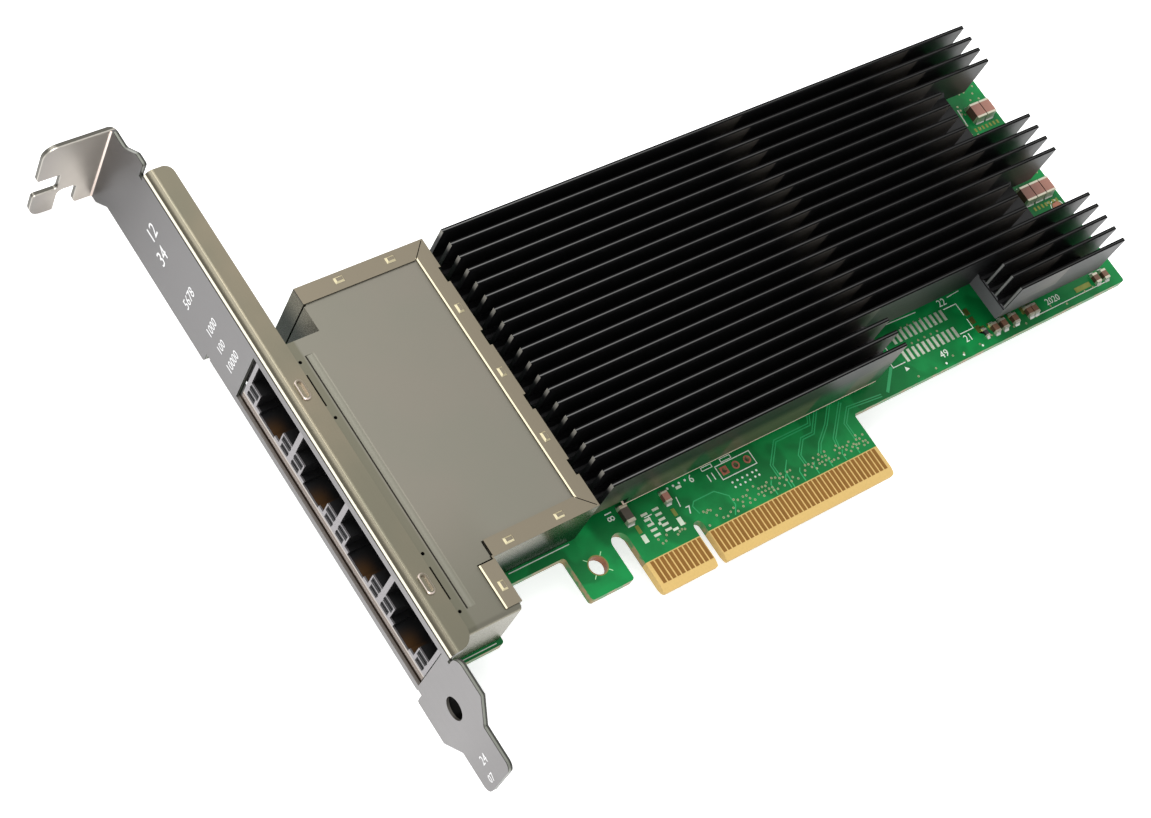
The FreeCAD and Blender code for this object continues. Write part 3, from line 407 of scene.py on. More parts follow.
def bracket_finish(finish):
    """Nickel plated sheet: grey panel, warmer flange, painted highlights and shade on the bends and
    sheared edges.
    """
    made = Finish("nickel_plate")
    rolled = made.noise(1.6, 4.0, (6, 0.08, 6))
    cloud = made.noise(0.05, 3.0)
    light = finish.bracket_colour
    # painted shade: the panel is painted darker towards its top, where less light falls, and the
    # tongue below the foot is toned down with it
    shade_towards_top = made.y * (1 / (BRACKET_HIGH.y - BRACKET_LOW.y)) + 0.12
    made.colour = made.mix(shade_towards_top, light, paler(light, 0.29))
    made.paint((1 - made.y.soft(-14, -3)) * 0.5, paler(light, 0.5))
    made.paint(rolled * 0.3 + cloud * 0.4, paler(light, 0.6))
    top = (made.z > FLANGE_Z - 0.05) * (made.x > FACE_X + BEND_R - 0.4)
    flange = made.mix(cloud.soft(0.35, 0.65), shade(130, 121, 103), shade(117, 113, 97))
    # painted shade: the flange is painted darker towards its lower end
    flange = made.mix((1 - made.y.soft(0, 70)) * 0.6, flange, shade(104, 102, 88))
    made.paint(top, flange)
    along = made.y.between(*FLANGE_ENDS_Y)
    bend_z = FLANGE_Z - BEND_R
    outside = (made.x < FACE_X + BEND_R) * along
    fold = outside * (made.z > bend_z) * (1 - top)
    # painted light on the outside of the bend: the fold darkened, a band of painted highlight along
    # it and a line of painted shadow where it leaves the panel
    made.paint(fold, shade(84, 80, 68))
    made.paint(fold * made.z.between(bend_z + 0.34, bend_z + 0.78), shade(216, 211, 192))
    made.paint(outside * made.z.between(bend_z, bend_z + 0.34), shade(40, 37, 33))
    # painted highlight on the cut edges of the flange
    rim = (made.z > FLANGE_Z - SHEET) * (made.x > FACE_X + 4.5) * along
    made.paint(rim * (1 - top), shade(190, 186, 168))
    # painted shade on the sheared edges of the panel and of the screw tab, with a band of painted
    # highlight along them
    in_sheet = (made.x < FACE_X + SHEET + 0.02) * (made.x > FACE_X - 0.01)
    clear_of_flange = 1 - along * (made.z > bend_z - 0.01)
    sheared = (abs(made.facing_x) < 0.4) * in_sheet * clear_of_flange * (made.y < EAR_Y - 0.4)
    made.paint(sheared, shade(66, 66, 62))
    made.paint(sheared * made.x.between(FACE_X + 0.12, FACE_X + 0.5), shade(128, 130, 122))
    # the sill below the ports faces up and is painted paler as painted light, with a line of
    # painted shade along its inner side
    sill = sheared * (made.facing_z > 0.5) * (made.z < 1) * made.y.between(
        PORTS_Y[0] - PORT_PITCH / 2 - 1.5, PORTS_Y[-1] + PORT_PITCH / 2 + 1.5)
    made.paint(sill, shade(150, 146, 142))
    made.paint(sill * (made.x > FACE_X + 0.55), shade(74, 62, 52))
    ear = made.y > EAR_Y - 0.01
    # painted light and shade on the ear: paler near the bend and darker towards its tip
    plated = made.mix(made.x.soft(FACE_X - 13, FACE_X - 3), shade(126, 124, 122),
                      shade(196, 189, 180))
    plated = made.mix(made.facing_y > 0.4, plated, light)
    made.paint(ear, made.mix(cloud.soft(0.4, 0.6) * 0.4, plated, shade(160, 152, 144)))
    # painted highlight along the ear's bend
    made.paint((made.y > EAR_Y - 1.2) * abs(made.facing_y).between(0.45, 0.97),
               shade(232, 216, 206))
    # painted shade on the ear's cut edges, with a painted highlight near the bend
    cut = ear * (abs(made.facing_y) < 0.4)
    made.paint(cut, shade(84, 82, 76))
    made.paint(cut * (made.y < EAR_Y + 0.25), shade(158, 154, 146))
    # painted highlight on the sloped sides of the catch
    catch = (made.z > FLANGE_Z + 0.02) * (made.x > FACE_X + 2) * (1 - made.facing_z.soft(0.9, 0.95))
    made.paint(catch, shade(206, 192, 182))
    bore = distance(made.y - HOLE_Y, made.z - HOLE_Z) < HOLE_R
    made.paint(bore * (abs(made.facing_x) < 0.5), shade(112, 108, 102))
    # painted shade: the bore is painted black behind the panel
    made.paint(bore * (made.x > FACE_X + 0.5), shade(10, 10, 9))
    return made.done(metallic=0.85, roughness=rolled * 0.08 + 0.34, bump=(rolled, 0.005))


def shield_finish(finish):
    """Tin plated shield: matt top with a pressed groove, painted highlights and shade on its folds
    and walls, and a pale port frame.
    """
    made = Finish("tin_plate")
    cloud = made.noise(0.06, 3.0)
    fine = made.noise(3.0, 3.0)
    made.colour = made.mix(cloud.soft(0.3, 0.7) * 0.6, finish.shield_colour, shade(130, 124, 114))
    # the strip beside the bracket and the lower corner look towards darker things
    beside_groove = 1 - made.x.soft(GROOVE_X - 0.6, GROOVE_X)
    made.paint(beside_groove * 0.75, shade(102, 100, 84))
    made.paint((1 - made.y.soft(4, 30)) * (1 - made.x.soft(-44, -38)) * 0.6, shade(100, 99, 86))
    wall = abs(made.facing_z) < 0.5
    in_shade = (made.x > STEP_X).either(made.y > SKIRT_HIGH.y - 12) * wall
    made.paint(wall, shade(122, 118, 102))
    # painted shade and a painted reflection of the green board on the shaded walls, deepening
    # towards the board
    made.paint(in_shade * (1 - made.z.soft(4.0, 12.5)) * 0.97, shade(10, 26, 12))
    raised = made.z > RIM_Z - 0.01
    flat = made.facing_z > 0.9
    from_rear = SKIRT_HIGH.x - made.x
    from_end = (SKIRT_HIGH.y - made.y).math("MINIMUM", made.y - REAR_LOW_Y)
    inner = (from_rear - RIM_WIDTH).between(-0.32, 0.05) * (from_end > RIM_WIDTH - 0.3)
    inner = inner.either(
        (made.x - (STEP_X - RIM_WIDTH)).between(-0.05, 0.32) * (made.y < REAR_LOW_Y))
    made.paint(raised * flat, shade(128, 120, 104))
    # painted highlight along the inner folds of the rims
    made.paint(raised * flat * inner, shade(252, 240, 206))
    # painted shade on the walls of the raised rims
    made.paint((made.z > RIM_Z - 0.29) * wall, shade(72, 68, 58))
    mitre = abs(from_rear - from_end).between(-1, 0.45) * (from_rear < RIM_WIDTH) * (
        from_end < RIM_WIDTH) * (from_end > 0)
    made.paint(mitre * (1 - raised), shade(20, 18, 15))
    # painted highlight on the sloped sides of the locking dimples
    bump = (made.z > RIM_Z + 0.02) * (1 - made.facing_z.soft(0.9, 0.95))
    made.paint(bump, shade(226, 216, 180))
    # painted shade in the groove: a dark line on its left wall and the slope toned down, with a
    # faint painted highlight on its crest
    in_groove = made.y.between(*GROOVE_ENDS_Y) * made.z.between(11.3, 11.7)
    made.paint(in_groove * made.x.between(GROOVE_X - 0.12, GROOVE_X + 0.22), shade(46, 44, 38))
    crest_x = GROOVE_X + 0.8
    lit = made.x.soft(crest_x - 0.5, crest_x) * (1 - made.x.soft(crest_x, crest_x + 0.5))
    slope = in_groove * made.x.between(GROOVE_X + 0.22, GROOVE_X + 1.4)
    made.paint(slope * 0.7, shade(108, 107, 96))
    made.paint(in_groove * lit * 0.2, shade(146, 144, 134))
    frame_face = made.x < FACE_X + 1.6
    made.paint(frame_face, shade(130, 127, 129))
    # painted highlight on the lip below the ports, with a darker brown band below it
    made.paint(frame_face * (made.z < 0.35), shade(158, 152, 146))
    made.paint(frame_face * (made.z < -0.05), shade(98, 84, 74))
    # painted shade on the shield's face round the indicator windows, two in each lower corner of a
    # port, dark and not metallic
    off = abs(made.y.from_nearest(PORTS_Y[0], PORT_PITCH))
    shaded_windows = off.between(3.7, PORT_HALF - 0.1) * made.z.between(2.3, 3.85)
    shaded_windows = shaded_windows.either(off.between(4.05, PORT_HALF - 0.1) * made.z.between(0.65, 2.05))
    shaded_windows = shaded_windows * (made.x < FACE_X + 0.12)
    made.paint(shaded_windows, shade(20, 20, 22))
    return made.done(metallic=0.85 - shaded_windows * 0.85, specular_ior_level=0.15,
                     roughness=0.4 - wall * 0.16 + fine * 0.06 + shaded_windows * 0.2, bump=(fine, 0.003))


def anodised_finish(finish):
    """Black anodised fins, with painted highlights along their top edges and ends and painted light
    on their flanks near the ends.
    """
    made = Finish("black_anodised")
    drawn = made.noise(2.0, 3.0, (0.05, 4, 4))
    base = finish.sink_colour
    made.colour = made.mix(drawn * 0.5, base, paler(base, 1.6))
    across = made.y.from_nearest(SINK_HIGH.y - FIN_WIDTH / 2, FIN_PITCH)
    on_top = (made.z > SINK_HIGH.z - 0.05) * (made.facing_z > 0.5)
    wear_and_glint = (1 - abs(across).soft(0.02, 0.15)) * (
        1 - made.x.soft(SINK_LOW.x - 30, SINK_HIGH.x - 20) * 0.78)
    made.paint(on_top, shade(14, 14, 14))
    # painted highlight along each fin's top edge, fading along the fins
    made.paint(on_top * wear_and_glint, shade(128, 128, 127))
    # painted highlight down the top of the fins' left ends
    left_end = (made.facing_x < -0.5) * (made.x < SINK_LOW.x + 0.1)
    made.paint(left_end * made.z.soft(SINK_HIGH.z - 2.4, SINK_HIGH.z - 0.3), shade(124, 122, 116))
    flank = (made.facing_y < -0.5) * (made.z > 8)
    # painted light on the flanks of the fins near their ends, where light reaches into the gaps
    for end_x, reach in FIN_ENDS:
        bare = made.x.soft(end_x - reach, end_x) * (made.x < end_x + 0.1)
        made.paint(flank * bare * 0.55, shade(104, 98, 92))
    # painted highlight on the end faces of the short fins, and painted light on the end of the base
    # plate below them
    stub_end = (made.facing_x < -0.3) * (made.x > HEADER_LOW.x)
    made.paint(stub_end * (made.z > 7.5) * (abs(across) < 0.2), shade(100, 100, 99))
    made.paint(stub_end * (made.z < 7.5) * 0.9, shade(84, 84, 86))
    # the lowest fin mirrors the board in front of it
    lowest = (made.facing_y < -0.5) * (made.y < SINK_LOW.y + 1) * (1 - made.z.soft(5.5, 10.5))
    lowest = lowest * (made.x < HEADER_LOW.x)
    streaks = made.noise(0.07, 1.0, (1, 0, 0)).soft(0.46, 0.5)
    made.paint(lowest, made.mix(streaks, shade(18, 66, 34), shade(70, 74, 54)))
    return made.done(metallic=on_top, roughness=drawn * 0.12 + 0.34, specular_ior_level=0.3,
                     bump=(drawn, 0.008))


def moulded_finish(name, colour, rough=0.5, glance=0.5):
    made = Finish(name)
    speckle = made.noise(6.0, 2.0)
    made.colour = made.mix(speckle * 0.4, colour, paler(colour, 0.7))
    return made.done(roughness=speckle * 0.15 + rough, specular_ior_level=glance,
                     bump=(speckle, 0.015))


def package_finish(finish):
    """Moulded top on a green substrate."""
    made = Finish("moulded_chip")
    speckle = made.noise(6.0, 2.0)
    made.colour = made.mix(speckle * 0.4, shade(34, 34, 36), shade(26, 26, 27))
    made.paint(made.z < 0.49, finish.pour_colour)
    return made.done(roughness=speckle * 0.15 + 0.42, bump=(speckle, 0.012))


def part_finish(name, node, body, axis, cap):
    """Fired body with tinned ends, for chip parts whose length runs along x or y (0 or 1)."""
    made = Finish(name)
    along = (made.x, made.y)[axis]
    across = (made.facing_y, made.facing_x)[axis]
    places = sorted({(round((low[axis] + high[axis]) / 2, 2), round(high[axis] - low[axis], 2))
                     for low, high in blocks(node)})
    tips = None
    for centre, long in places:
        pair = abs(along - centre).between(long / 2 - cap, long / 2 + 0.05)
        tips = pair if tips is None else tips.either(pair)
    grain = made.noise(5.0, 2.0)
    made.colour = made.mix(grain * 0.5, body, paler(body, 0.75))
    # painted shade: the long sides are painted darker, for the shade in the narrow gaps between
    # parts
    made.paint(abs(across) > 0.7, paler(body, 0.3))
    made.paint(tips, shade(212, 206, 186))
    return made.done(roughness=0.42 - tips * 0.12, metallic=tips * 0.7, bump=(grain, 0.02))


def tinned_finish(name="tinned", bright=(206, 205, 200), dull=(172, 171, 166)):
    made = Finish(name)
    flow = made.noise(1.5, 3.0)
    made.colour = made.mix(flow, shade(*bright), shade(*dull))
    return made.done(metallic=0.8, roughness=flow * 0.25 + 0.2, bump=(flow, 0.03))


def housing_finish():
    """Black moulding of the ports, with brown low in the mouth of each port by its latch recess,
    fading to black deeper in.
    """
    made = Finish("black_moulding")
    speckle = made.noise(5.0, 2.0)
    made.colour = made.mix(speckle * 0.4, shade(17, 17, 18), shade(12, 12, 12))
    in_port = made.y.from_nearest(PORTS_Y[0], PORT_PITCH)
    mouth = 1 - made.x.soft(FACE_X + 1.2, FACE_X + 4)
    mouth = mouth * (1 - in_port.soft(-1.6, 1.8)) * (made.z < 1.2)
    made.paint(mouth * 0.9, shade(56, 35, 10))
    return made.done(roughness=speckle * 0.1 + 0.4, specular_ior_level=0.25,
                     bump=(speckle, 0.012))


def ink_finish(name, colour):
    made = Finish(name)
    wear_and_glint = made.noise(2.5, 3.0)
    made.colour = made.mix(wear_and_glint * 0.5, colour, paler(colour, 0.8))
    return made.done(roughness=wear_and_glint * 0.1 + 0.5)


def track_finish():
    """Lacquer lifted over a copper track."""
    made = Finish("lacquered_copper")
    tone = made.noise(0.6, 2.0)
    made.colour = made.mix(tone, shade(26, 168, 98), shade(12, 142, 78))
    return made.done(roughness=tone * 0.1 + 0.3, coat_weight=0.15)


def wear(piece, material):
    """Gives a piece its one finish."""
    piece.data.materials.clear()
    piece.data.materials.append(material)


# ---- modelling steps shared by the pieces ----

def mode(name):
    bpy.ops.object.mode_set(mode=name)


def begin():
    """Nothing open and nothing selected, before a new piece is started."""
    if bpy.context.object is not None and bpy.context.object.mode != "OBJECT":
        mode("OBJECT")
    bpy.ops.object.select_all(action="DESELECT")


def choose(pieces):
    """Selects pieces and nothing else, with the first of them active."""
    begin()
    for piece in pieces:
        piece.select_set(True)
    bpy.context.view_layer.objects.active = pieces[0]


def seat(piece, scale, turn, middle):
    """Sizes, turns and moves a piece, and leaves all of it in the mesh."""
    piece.scale = scale
    piece.rotation_euler = turn
    piece.location = middle
    bpy.ops.object.transform_apply(location=True, rotation=True, scale=True)


def beside(points, offset):
    """A line beside another, at a fixed distance to its left, with mitred corners."""
    steps = [(Vector(b) - Vector(a)).normalized() for a, b in zip(points, points[1:])]
    moved = []
    for point, before, after in zip(points, steps[:1] + steps, steps + steps[-1:]):
        left = Vector((-before.y - after.y, before.x + after.x)).normalized()
        stretch = 1 / max(SHARPEST, left.dot(Vector((-before.y, before.x))))
        moved.append(tuple(Vector(point) + left * offset * stretch))
    return moved


def ribbon(points, width):
    """Outline of a line with a width."""
    return beside(points, width / 2) + beside(points, -width / 2)[::-1]


def disc(x, y, r, sides):
    return [(x + r * math.cos(i * math.tau / sides), y + r * math.sin(i * math.tau / sides))
            for i in range(sides)]


def loop(points, width):
    """Two outlines that draw a closed line with a width."""
    closed = points[-1:] + points + points[:1]
    return [beside(closed, side * width / 2)[1:-1] for side in (1, -1)]


def rectangle(x0, x1, y0, y1):
    return [(x0, y0), (x1, y0), (x1, y1), (x0, y1)]


def pad(x, y, width, height):
    """Rectangle given by its lower left corner."""
    return rectangle(x, x + width, y, y + height)


def grid(columns, rows, x, y, step_x, step_y):
    """Places in rows, from the lower left one."""
    return [(x + i * step_x, y + j * step_y) for j in range(rows) for i in range(columns)]


def pick(piece, chosen):
    """Opens a piece and selects the vertices whose place passes a test, with what joins them."""
    mode("EDIT")
    bpy.ops.mesh.select_mode(type="VERT")
    bpy.ops.mesh.select_all(action="DESELECT")
    mode("OBJECT")
    picked = {vertex.index for vertex in piece.data.vertices if chosen(vertex.co)}
    for vertex in piece.data.vertices:
        vertex.select = vertex.index in picked
    for edge in piece.data.edges:
        edge.select = picked.issuperset(edge.vertices)
    mode("EDIT")


def settle(piece, name, material):
    """Gives a finished piece its name and finish, and lets it ride on the card."""
    piece.name = name
    piece.data.name = name
    wear(piece, material)
    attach(piece, "root")


def lay(face, x, y, rise, angle=0):
    """Makes the drawing at hand a closed mesh with its faces outwards, and lays it on a face of
    the card."""
    bpy.ops.object.convert(target="MESH")
    mode("EDIT")
    bpy.ops.mesh.select_all(action="SELECT")
    bpy.ops.mesh.remove_doubles(threshold=0.001)
    bpy.ops.mesh.normals_make_consistent(inside=False)
    mode("OBJECT")
    turn, out = face
    turned = Euler(turn).to_matrix()
    slant = turned @ Matrix.Rotation(math.radians(angle), 3, "Z")
    piece = bpy.context.object
    seat(piece, (MM, MM, MM), slant.to_euler(), turned @ Vector((x, y, out + rise / 2)) * MM)
    return piece


def flat_piece(name, outlines, rise, material, face=FRONT):
    """Thin piece from closed outlines in millimetres. An outline inside another is a hole."""
    begin()
    bpy.ops.object.add(type="CURVE")
    drawing = bpy.context.object.data
    drawing.dimensions = "2D"
    drawing.fill_mode = "BOTH"
    drawing.extrude = rise / 2
    for outline in outlines:
        spline = drawing.splines.new("POLY")
        spline.points.add(len(outline) - 1)
        for point, (x, y) in zip(spline.points, outline):
            point.co = (x, y, 0, 1)
        spline.use_cyclic_u = True
    settle(lay(face, 0, 0, rise), name, material)


def number_piece(name, rows, rise, material, face=FRONT):
    """Printed numbers as thin raised figures: rows of (figures, x, y, height, angle)."""
    made = []
    for figures, x, y, size, angle in rows:
        begin()
        bpy.ops.object.text_add()
        writing = bpy.context.object.data
        writing.body = figures
        writing.size = size * FIGURE_SIZE
        writing.align_x = writing.align_y = "CENTER"
        writing.resolution_u = 2
        writing.extrude = rise / 2
        made.append(lay(face, x, y, rise, angle))
    choose(made)
    bpy.ops.object.join()
    settle(made[0], name, material)


# ---- operators ----

class CARD_OT_finishes(bpy.types.Operator):
    """Give every solid of the card its finish"""
    bl_idname = "card.finishes"
    bl_label = "Finish the solids"

    def execute(self, context):
        finish = context.scene.card_finish
        chip = package_finish(finish)
        brown = shade(170, 120, 104)
        tin = tinned_finish()
        gold = gold_finish("gold_plating", finish.gold_colour)
        shield = shield_finish(finish)
        dress = {
            "circuit_board": board_finish(finish), "bracket": bracket_finish(finish),
            "shield_cover": shield, "shield_skirt": shield, "heat_sink": anodised_finish(finish),
            "jack_housing": housing_finish(),
            "indicator_lenses": moulded_finish("light_guide", shade(20, 20, 22), 0.6, glance=0.05),
            "thermal_pad": moulded_finish("gap_pad", shade(228, 204, 188), 0.75),
            "power_inductors": moulded_finish("grey_ferrite", shade(86, 84, 82)),
            "jack_pins": tin, "heat_sink_screws": tin, "clock_crystal": tin,
            "connector_pads": tinned_finish("bright_pads", (222, 228, 210), (196, 204, 184)),
            "edge_contacts_front": gold, "edge_contacts_back": gold,
            "jumper_pads": gold_finish("bare_copper", shade(206, 128, 108)),
            "port_contacts": gold_finish("sprung_wires", shade(206, 190, 150)),
            "magnetics_module": moulded_finish("module_case", shade(24, 24, 24), 0.42),
        }
        for node, name, body, axis, cap in (
                ("ferrite_bead", "bead", shade(84, 76, 66), 1, 0.55),
                ("chip_resistor", "resistor", shade(52, 50, 50), 1, 0.35),
                ("bulk_capacitors", "fired_bulk", brown, 1, 0.4),
                ("edge_capacitors", "fired_edge", shade(122, 88, 66), 1, 0.42),
                ("bypass_capacitor", "fired_bypass", brown, 1, 0.35),
                ("underside_capacitors", "fired_under", brown, 0, 0.35)):
            dress[node] = part_finish(name, node, body, axis, cap)
        # like nodes that are numbered share one finish
        for node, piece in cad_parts.items():
            wear(piece, dress.get(node.rstrip("_0123456789"), chip))
        return {"FINISHED"}


class CARD_OT_tracks(bpy.types.Operator):
    """Lay the pairs of copper tracks that run from the contacts to the chips"""
    bl_idname = "card.tracks"
    bl_label = "Tracks"

    def execute(self, context):
        detail = context.scene.card_detail
        pairs = (
            ((32.2, 17.5), (30.4, 14.5), (22.4, 14.5), (19.0, 11.0), (19.0, 8.6)),
            ((34.0, 17.0), (30.0, 12.8), (27.4, 12.8), (25.0, 10.4), (25.0, 8.6)),
            ((36.6, 16.4), (33.3, 13.1), (30.0, 10.7), (28.7, 9.1)),
            ((38.6, 15.6), (33.1, 10.3), (32.7, 8.6)),
            ((47.0, 13.4), (39.3, 14.1), (36.9, 11.8), (36.9, 8.6)),
        )
        lines = [beside(route, side * detail.pair_gap / 2) for route in pairs for side in (-1, 1)]
        lines.append([(22.2, 10.7), (20.6, 9.0), (20.4, 5.8)])
        lines.append([(1.5, 9.1), (1.1, 10.7), (1.8, 11.4), (6.3, 11.4), (8.3, 9.6), (8.4, 7.8),
                      (7.2, 6.2)])
        for i, rise in enumerate((0, 0.15, 0.2, 0.45, 0.65, 0.7, 0.9)):
            x = FINGERS_HIGH.x - 3 - i * 3.2
            lines.append([(x, 6.0), (x, 7.2 + rise), (x + 0.5, 7.8 + rise)])
        outlines = [ribbon(line, detail.track_width) for line in lines]
        outlines.append(ribbon([(52.4, 17.2), (48.5, 13.4)], 3 * detail.track_width))
        lacquer = track_finish()
        flat_piece("track_pairs", outlines, TRACK_RISE, lacquer)
        self.add_back(detail, lacquer)
        return {"FINISHED"}

    def add_back(self, detail, lacquer):
        """Tracks of the solder side: a bundle from each row of jack pins to its chip."""
        outlines = []
        pins_pitch = (PINS_HIGH.y - PINS_LOW.y + 4) / len(PORTS_Y)
        for port, chip_y in enumerate(CHIPS_Y):
            for i in range(4):
                out_y = PINS_LOW.y + 1.9 + port * pins_pitch + i * 2.3
                in_y = chip_y - 3 + i * 1.6
                knee_x = PINS_HIGH.x + 5 + i * 1.2
                line = [(PINS_HIGH.x + 1.2, out_y), (knee_x, out_y),
                        (knee_x + abs(in_y - out_y) + 1, in_y), (-6.6, in_y)]
                for side in (-1, 1):
                    outline = ribbon(beside(line, side * detail.pair_gap / 2), detail.track_width)
                    outlines.append([(-x, y) for x, y in outline])
        flat_piece("back_tracks", outlines, TRACK_RISE, lacquer, BACK)


class CARD_OT_vias(bpy.types.Operator):
    """Set the plated holes of both faces of the board"""
    bl_idname = "card.vias"
    bl_label = "Plated holes"

    def execute(self, context):
        detail = context.scene.card_detail
        order = random.Random(detail.seed)
        holes = [(lane + x, y) for lane in (36.8, 32.8, 28.7, 24.7, 18.8, 14.8, 10.5)
                 for x, y in ((0, 8.4), (0.7, 8.3), (1.0, 7.6), (-0.6, 7.6), (1.7, 7.0))]
        holes += [(9.5 + i * 0.78, 6.9 + i % 2 * 0.65) for i in range(38) if order.random() < 0.8]
        holes += [(8.6 + i * 0.68, 7.9 + order.random() * 1.3) for i in range(46)
                  if order.random() < 0.6]
        holes += grid(5, 1, 59.5, 19.5, 1.6, 0) + grid(4, 1, 59.5, 22.9, 1.6, 0)
        holes += [(1.8 + i * 0.45, 6.4 + order.random() * 3) for i in range(16)]
        holes += [(56 + i * 3.9 + order.random() * 2, 13.4 + order.random() * 1.2)
                  for i in range(14)]
        patches = [(6, -8.6, 7.2, 2.4, 1.4), (6, -4.4, 7.6, 2.4, 1.4)]
        patches += [(46, 97.2, y - 6.2, 12.4, 12.4) for y in BANK_ROWS_Y]
        for count, x, y, width, height in patches:
            holes += [(x + order.random() * width, y + order.random() * height)
                      for i in range(count)]
        holes = self.spaced(holes, detail.via_size)
        for low, high in blocks("bulk_capacitors"):
            holes = [(x, y) for x, y in holes if not (
                low.x - 0.3 < x < high.x + 0.3 and low.y - 0.9 < y < high.y + 0.9)]
        copper = gold_finish("plated_copper", shade(188, 186, 150))
        outer = detail.via_size / 2
        flat_piece("via_rings", self.rings(holes, outer), VIA_RISE, copper)
        back = []
        for i in range(30):
            for j in range(11):
                spot = (-18 + i * 4.1 + order.random() * 2.6, 16 + j * 4.9 + order.random() * 3)
                if order.random() < 0.6:
                    back.append(spot)
        back += [(x, y) for x, y in holes if y > 6.8]
        back = [(-x, y) for x, y in self.spaced(back, detail.via_size)]
        flat_piece("back_via_rings", self.rings(back, outer), VIA_RISE, copper,
                   BACK)
        return {"FINISHED"}

    def rings(self, places, outer):
        """Outlines of a ring round each place and of the hole in it."""
        return [outline for x, y in places
                for outline in (disc(x, y, outer, 8), disc(x, y, outer * 0.45, 6))]

    def spaced(self, places, size):
        """Leaves out a hole that would touch one before it."""
        kept = []
        for x, y in places:
            if all(math.hypot(x - a, y - b) > size * 1.1 for a, b in kept):
                kept.append((x, y))
        return kept


class CARD_OT_printing(bpy.types.Operator):
    """Print the outlines and plain numbers on the board"""
    bl_idname = "card.printing"
    bl_label = "Board printing"

    def execute(self, context):
        detail = context.scene.card_detail
        ink = ink_finish("board_ink", context.scene.card_finish.print_colour)
        width = detail.line_width
        low, high = HEADER_LOW, HEADER_HIGH
        lines = (
            ((high.x + 0.6, high.y - 0.2), (high.x + 3.8, high.y - 0.2),
             (high.x + 3.8, high.y - 2.8)),
            ((high.x + 0.4, low.y + 0.4), (high.x + 3.8, low.y + 0.4), (high.x + 3.8, low.y + 2.4)),
            ((low.x - 3.4, low.y + 1.0), (low.x - 3.4, low.y + 0.2), (low.x - 0.4, low.y + 0.2)),
            ((low.x - 0.4, high.y + 1.9), (low.x + 8.2, high.y + 1.6)),
            ((high.x + 3.0, high.y + 1.6), (high.x + 6.2, high.y + 1.8)),
            ((-34.8, 14.2), (-22.6, 14.2)), ((86.4, 13.9), (107, 13.9)),
            ((BOARD_LOW.x + 5, 5.2), (BOARD_LOW.x + 12, 5.2)),
            ((-8.0, 12.6), (-6.4, 12.6)), ((-7.2, 12.5), (-7.2, 11.2)),
            ((-0.6, 13.4), (-0.9, 11.6)),
        )
        outlines = [ribbon(line, width) for line in lines]
        outlines += [ribbon([(102.6, y + 2.2), (102.2, y - 1.6)], width * 1.6)
                     for y in BANK_ROWS_Y]
        outlines += loop(rectangle(JUMPER_LOW.x - 0.5, JUMPER_HIGH.x + 0.5, JUMPER_LOW.y - 0.6,
                                   JUMPER_HIGH.y + 0.5), width)
        for x in (6.6, 10.8):
            outlines += loop(pad(x, 15.3, 2.2, 0.6), width * 0.8)
        outlines.append([(low.x - 1.2, low.y - 0.5), (low.x - 0.4, low.y - 1.2),
                         (low.x - 1.4, low.y - 1.4)])
        dots = grid(4, 2, 10.4, 10.4, 1.1, 0.95) + grid(2, 2, 14.9, 10.5, 0.9, 0.9)
        outlines += [disc(x, y, 0.22, 6) for x, y in dots]
        outlines += [disc(x, y, 0.24, 6) for x, y in grid(4, 1, -1.1, 15.3, 1.27, 0)]
        outlines += [disc(x, 13.4, 0.25, 6) for x in (63.3, 67.8, 72.7)]
        outlines += [disc(MARK_X, MARK_Y, r, 20) for r in (1.6, 1.45)]
        flat_piece("board_lines", outlines, PRINT_RISE, ink)
        size = detail.number_size
        rows = [
            ("11", JUMPER_LOW.x - 2.2, JUMPER_LOW.y + 0.6, size, 0), ("6", 3.9, 15.0, size, 0),
            ("7", 0.2, 10.4, size, 0), ("81", -13.3, 15.4, size, 90),
            ("22", high.x + 1.2, high.y + 1.1, size, 0), ("21", high.x + 1.5, low.y - 0.9, size, 0),
            ("49", low.x + 8.0, low.y - 1.6, size, 0), ("2020", 93.0, 15.3, size * 0.9, 0),
            ("1", low.x - 2.2, low.y + 3.4, size, 0), ("2", low.x - 2.0, high.y - 1.0, size, 0),
        ]
        number_piece("board_numbers", rows, PRINT_RISE, ink)
        self.add_back(width, size, ink)
        return {"FINISHED"}

    def add_back(self, width, size, ink):
        outlines = []
        rows = [("500", -30.0, 53.4, size * 1.2, 0), ("100", -70.0, 20.0, size, 0),
                ("24", -90.0, 50.0, size, 90), ("2020", -98.0, 30.0, size, 90)]
        for number, y in enumerate(CHIPS_Y, 1):
            outlines += loop(pad(-5.2, y - 2.4, 9.4, 4.8), width)
            rows.append((str(number), -7.0, y + 3.6, size, 0))
        outlines += loop(pad(-39.5, 30.2, 19.0, 21.6), width)
        outlines += loop(rectangle(-PINS_HIGH.x - 1.4, -PINS_LOW.x + 1.4, PINS_LOW.y - 1.4,
                                   PINS_HIGH.y + 1.4), width)
        flat_piece("back_lines", outlines, PRINT_RISE, ink, BACK)
        number_piece("back_numbers", rows, PRINT_RISE, ink, BACK)


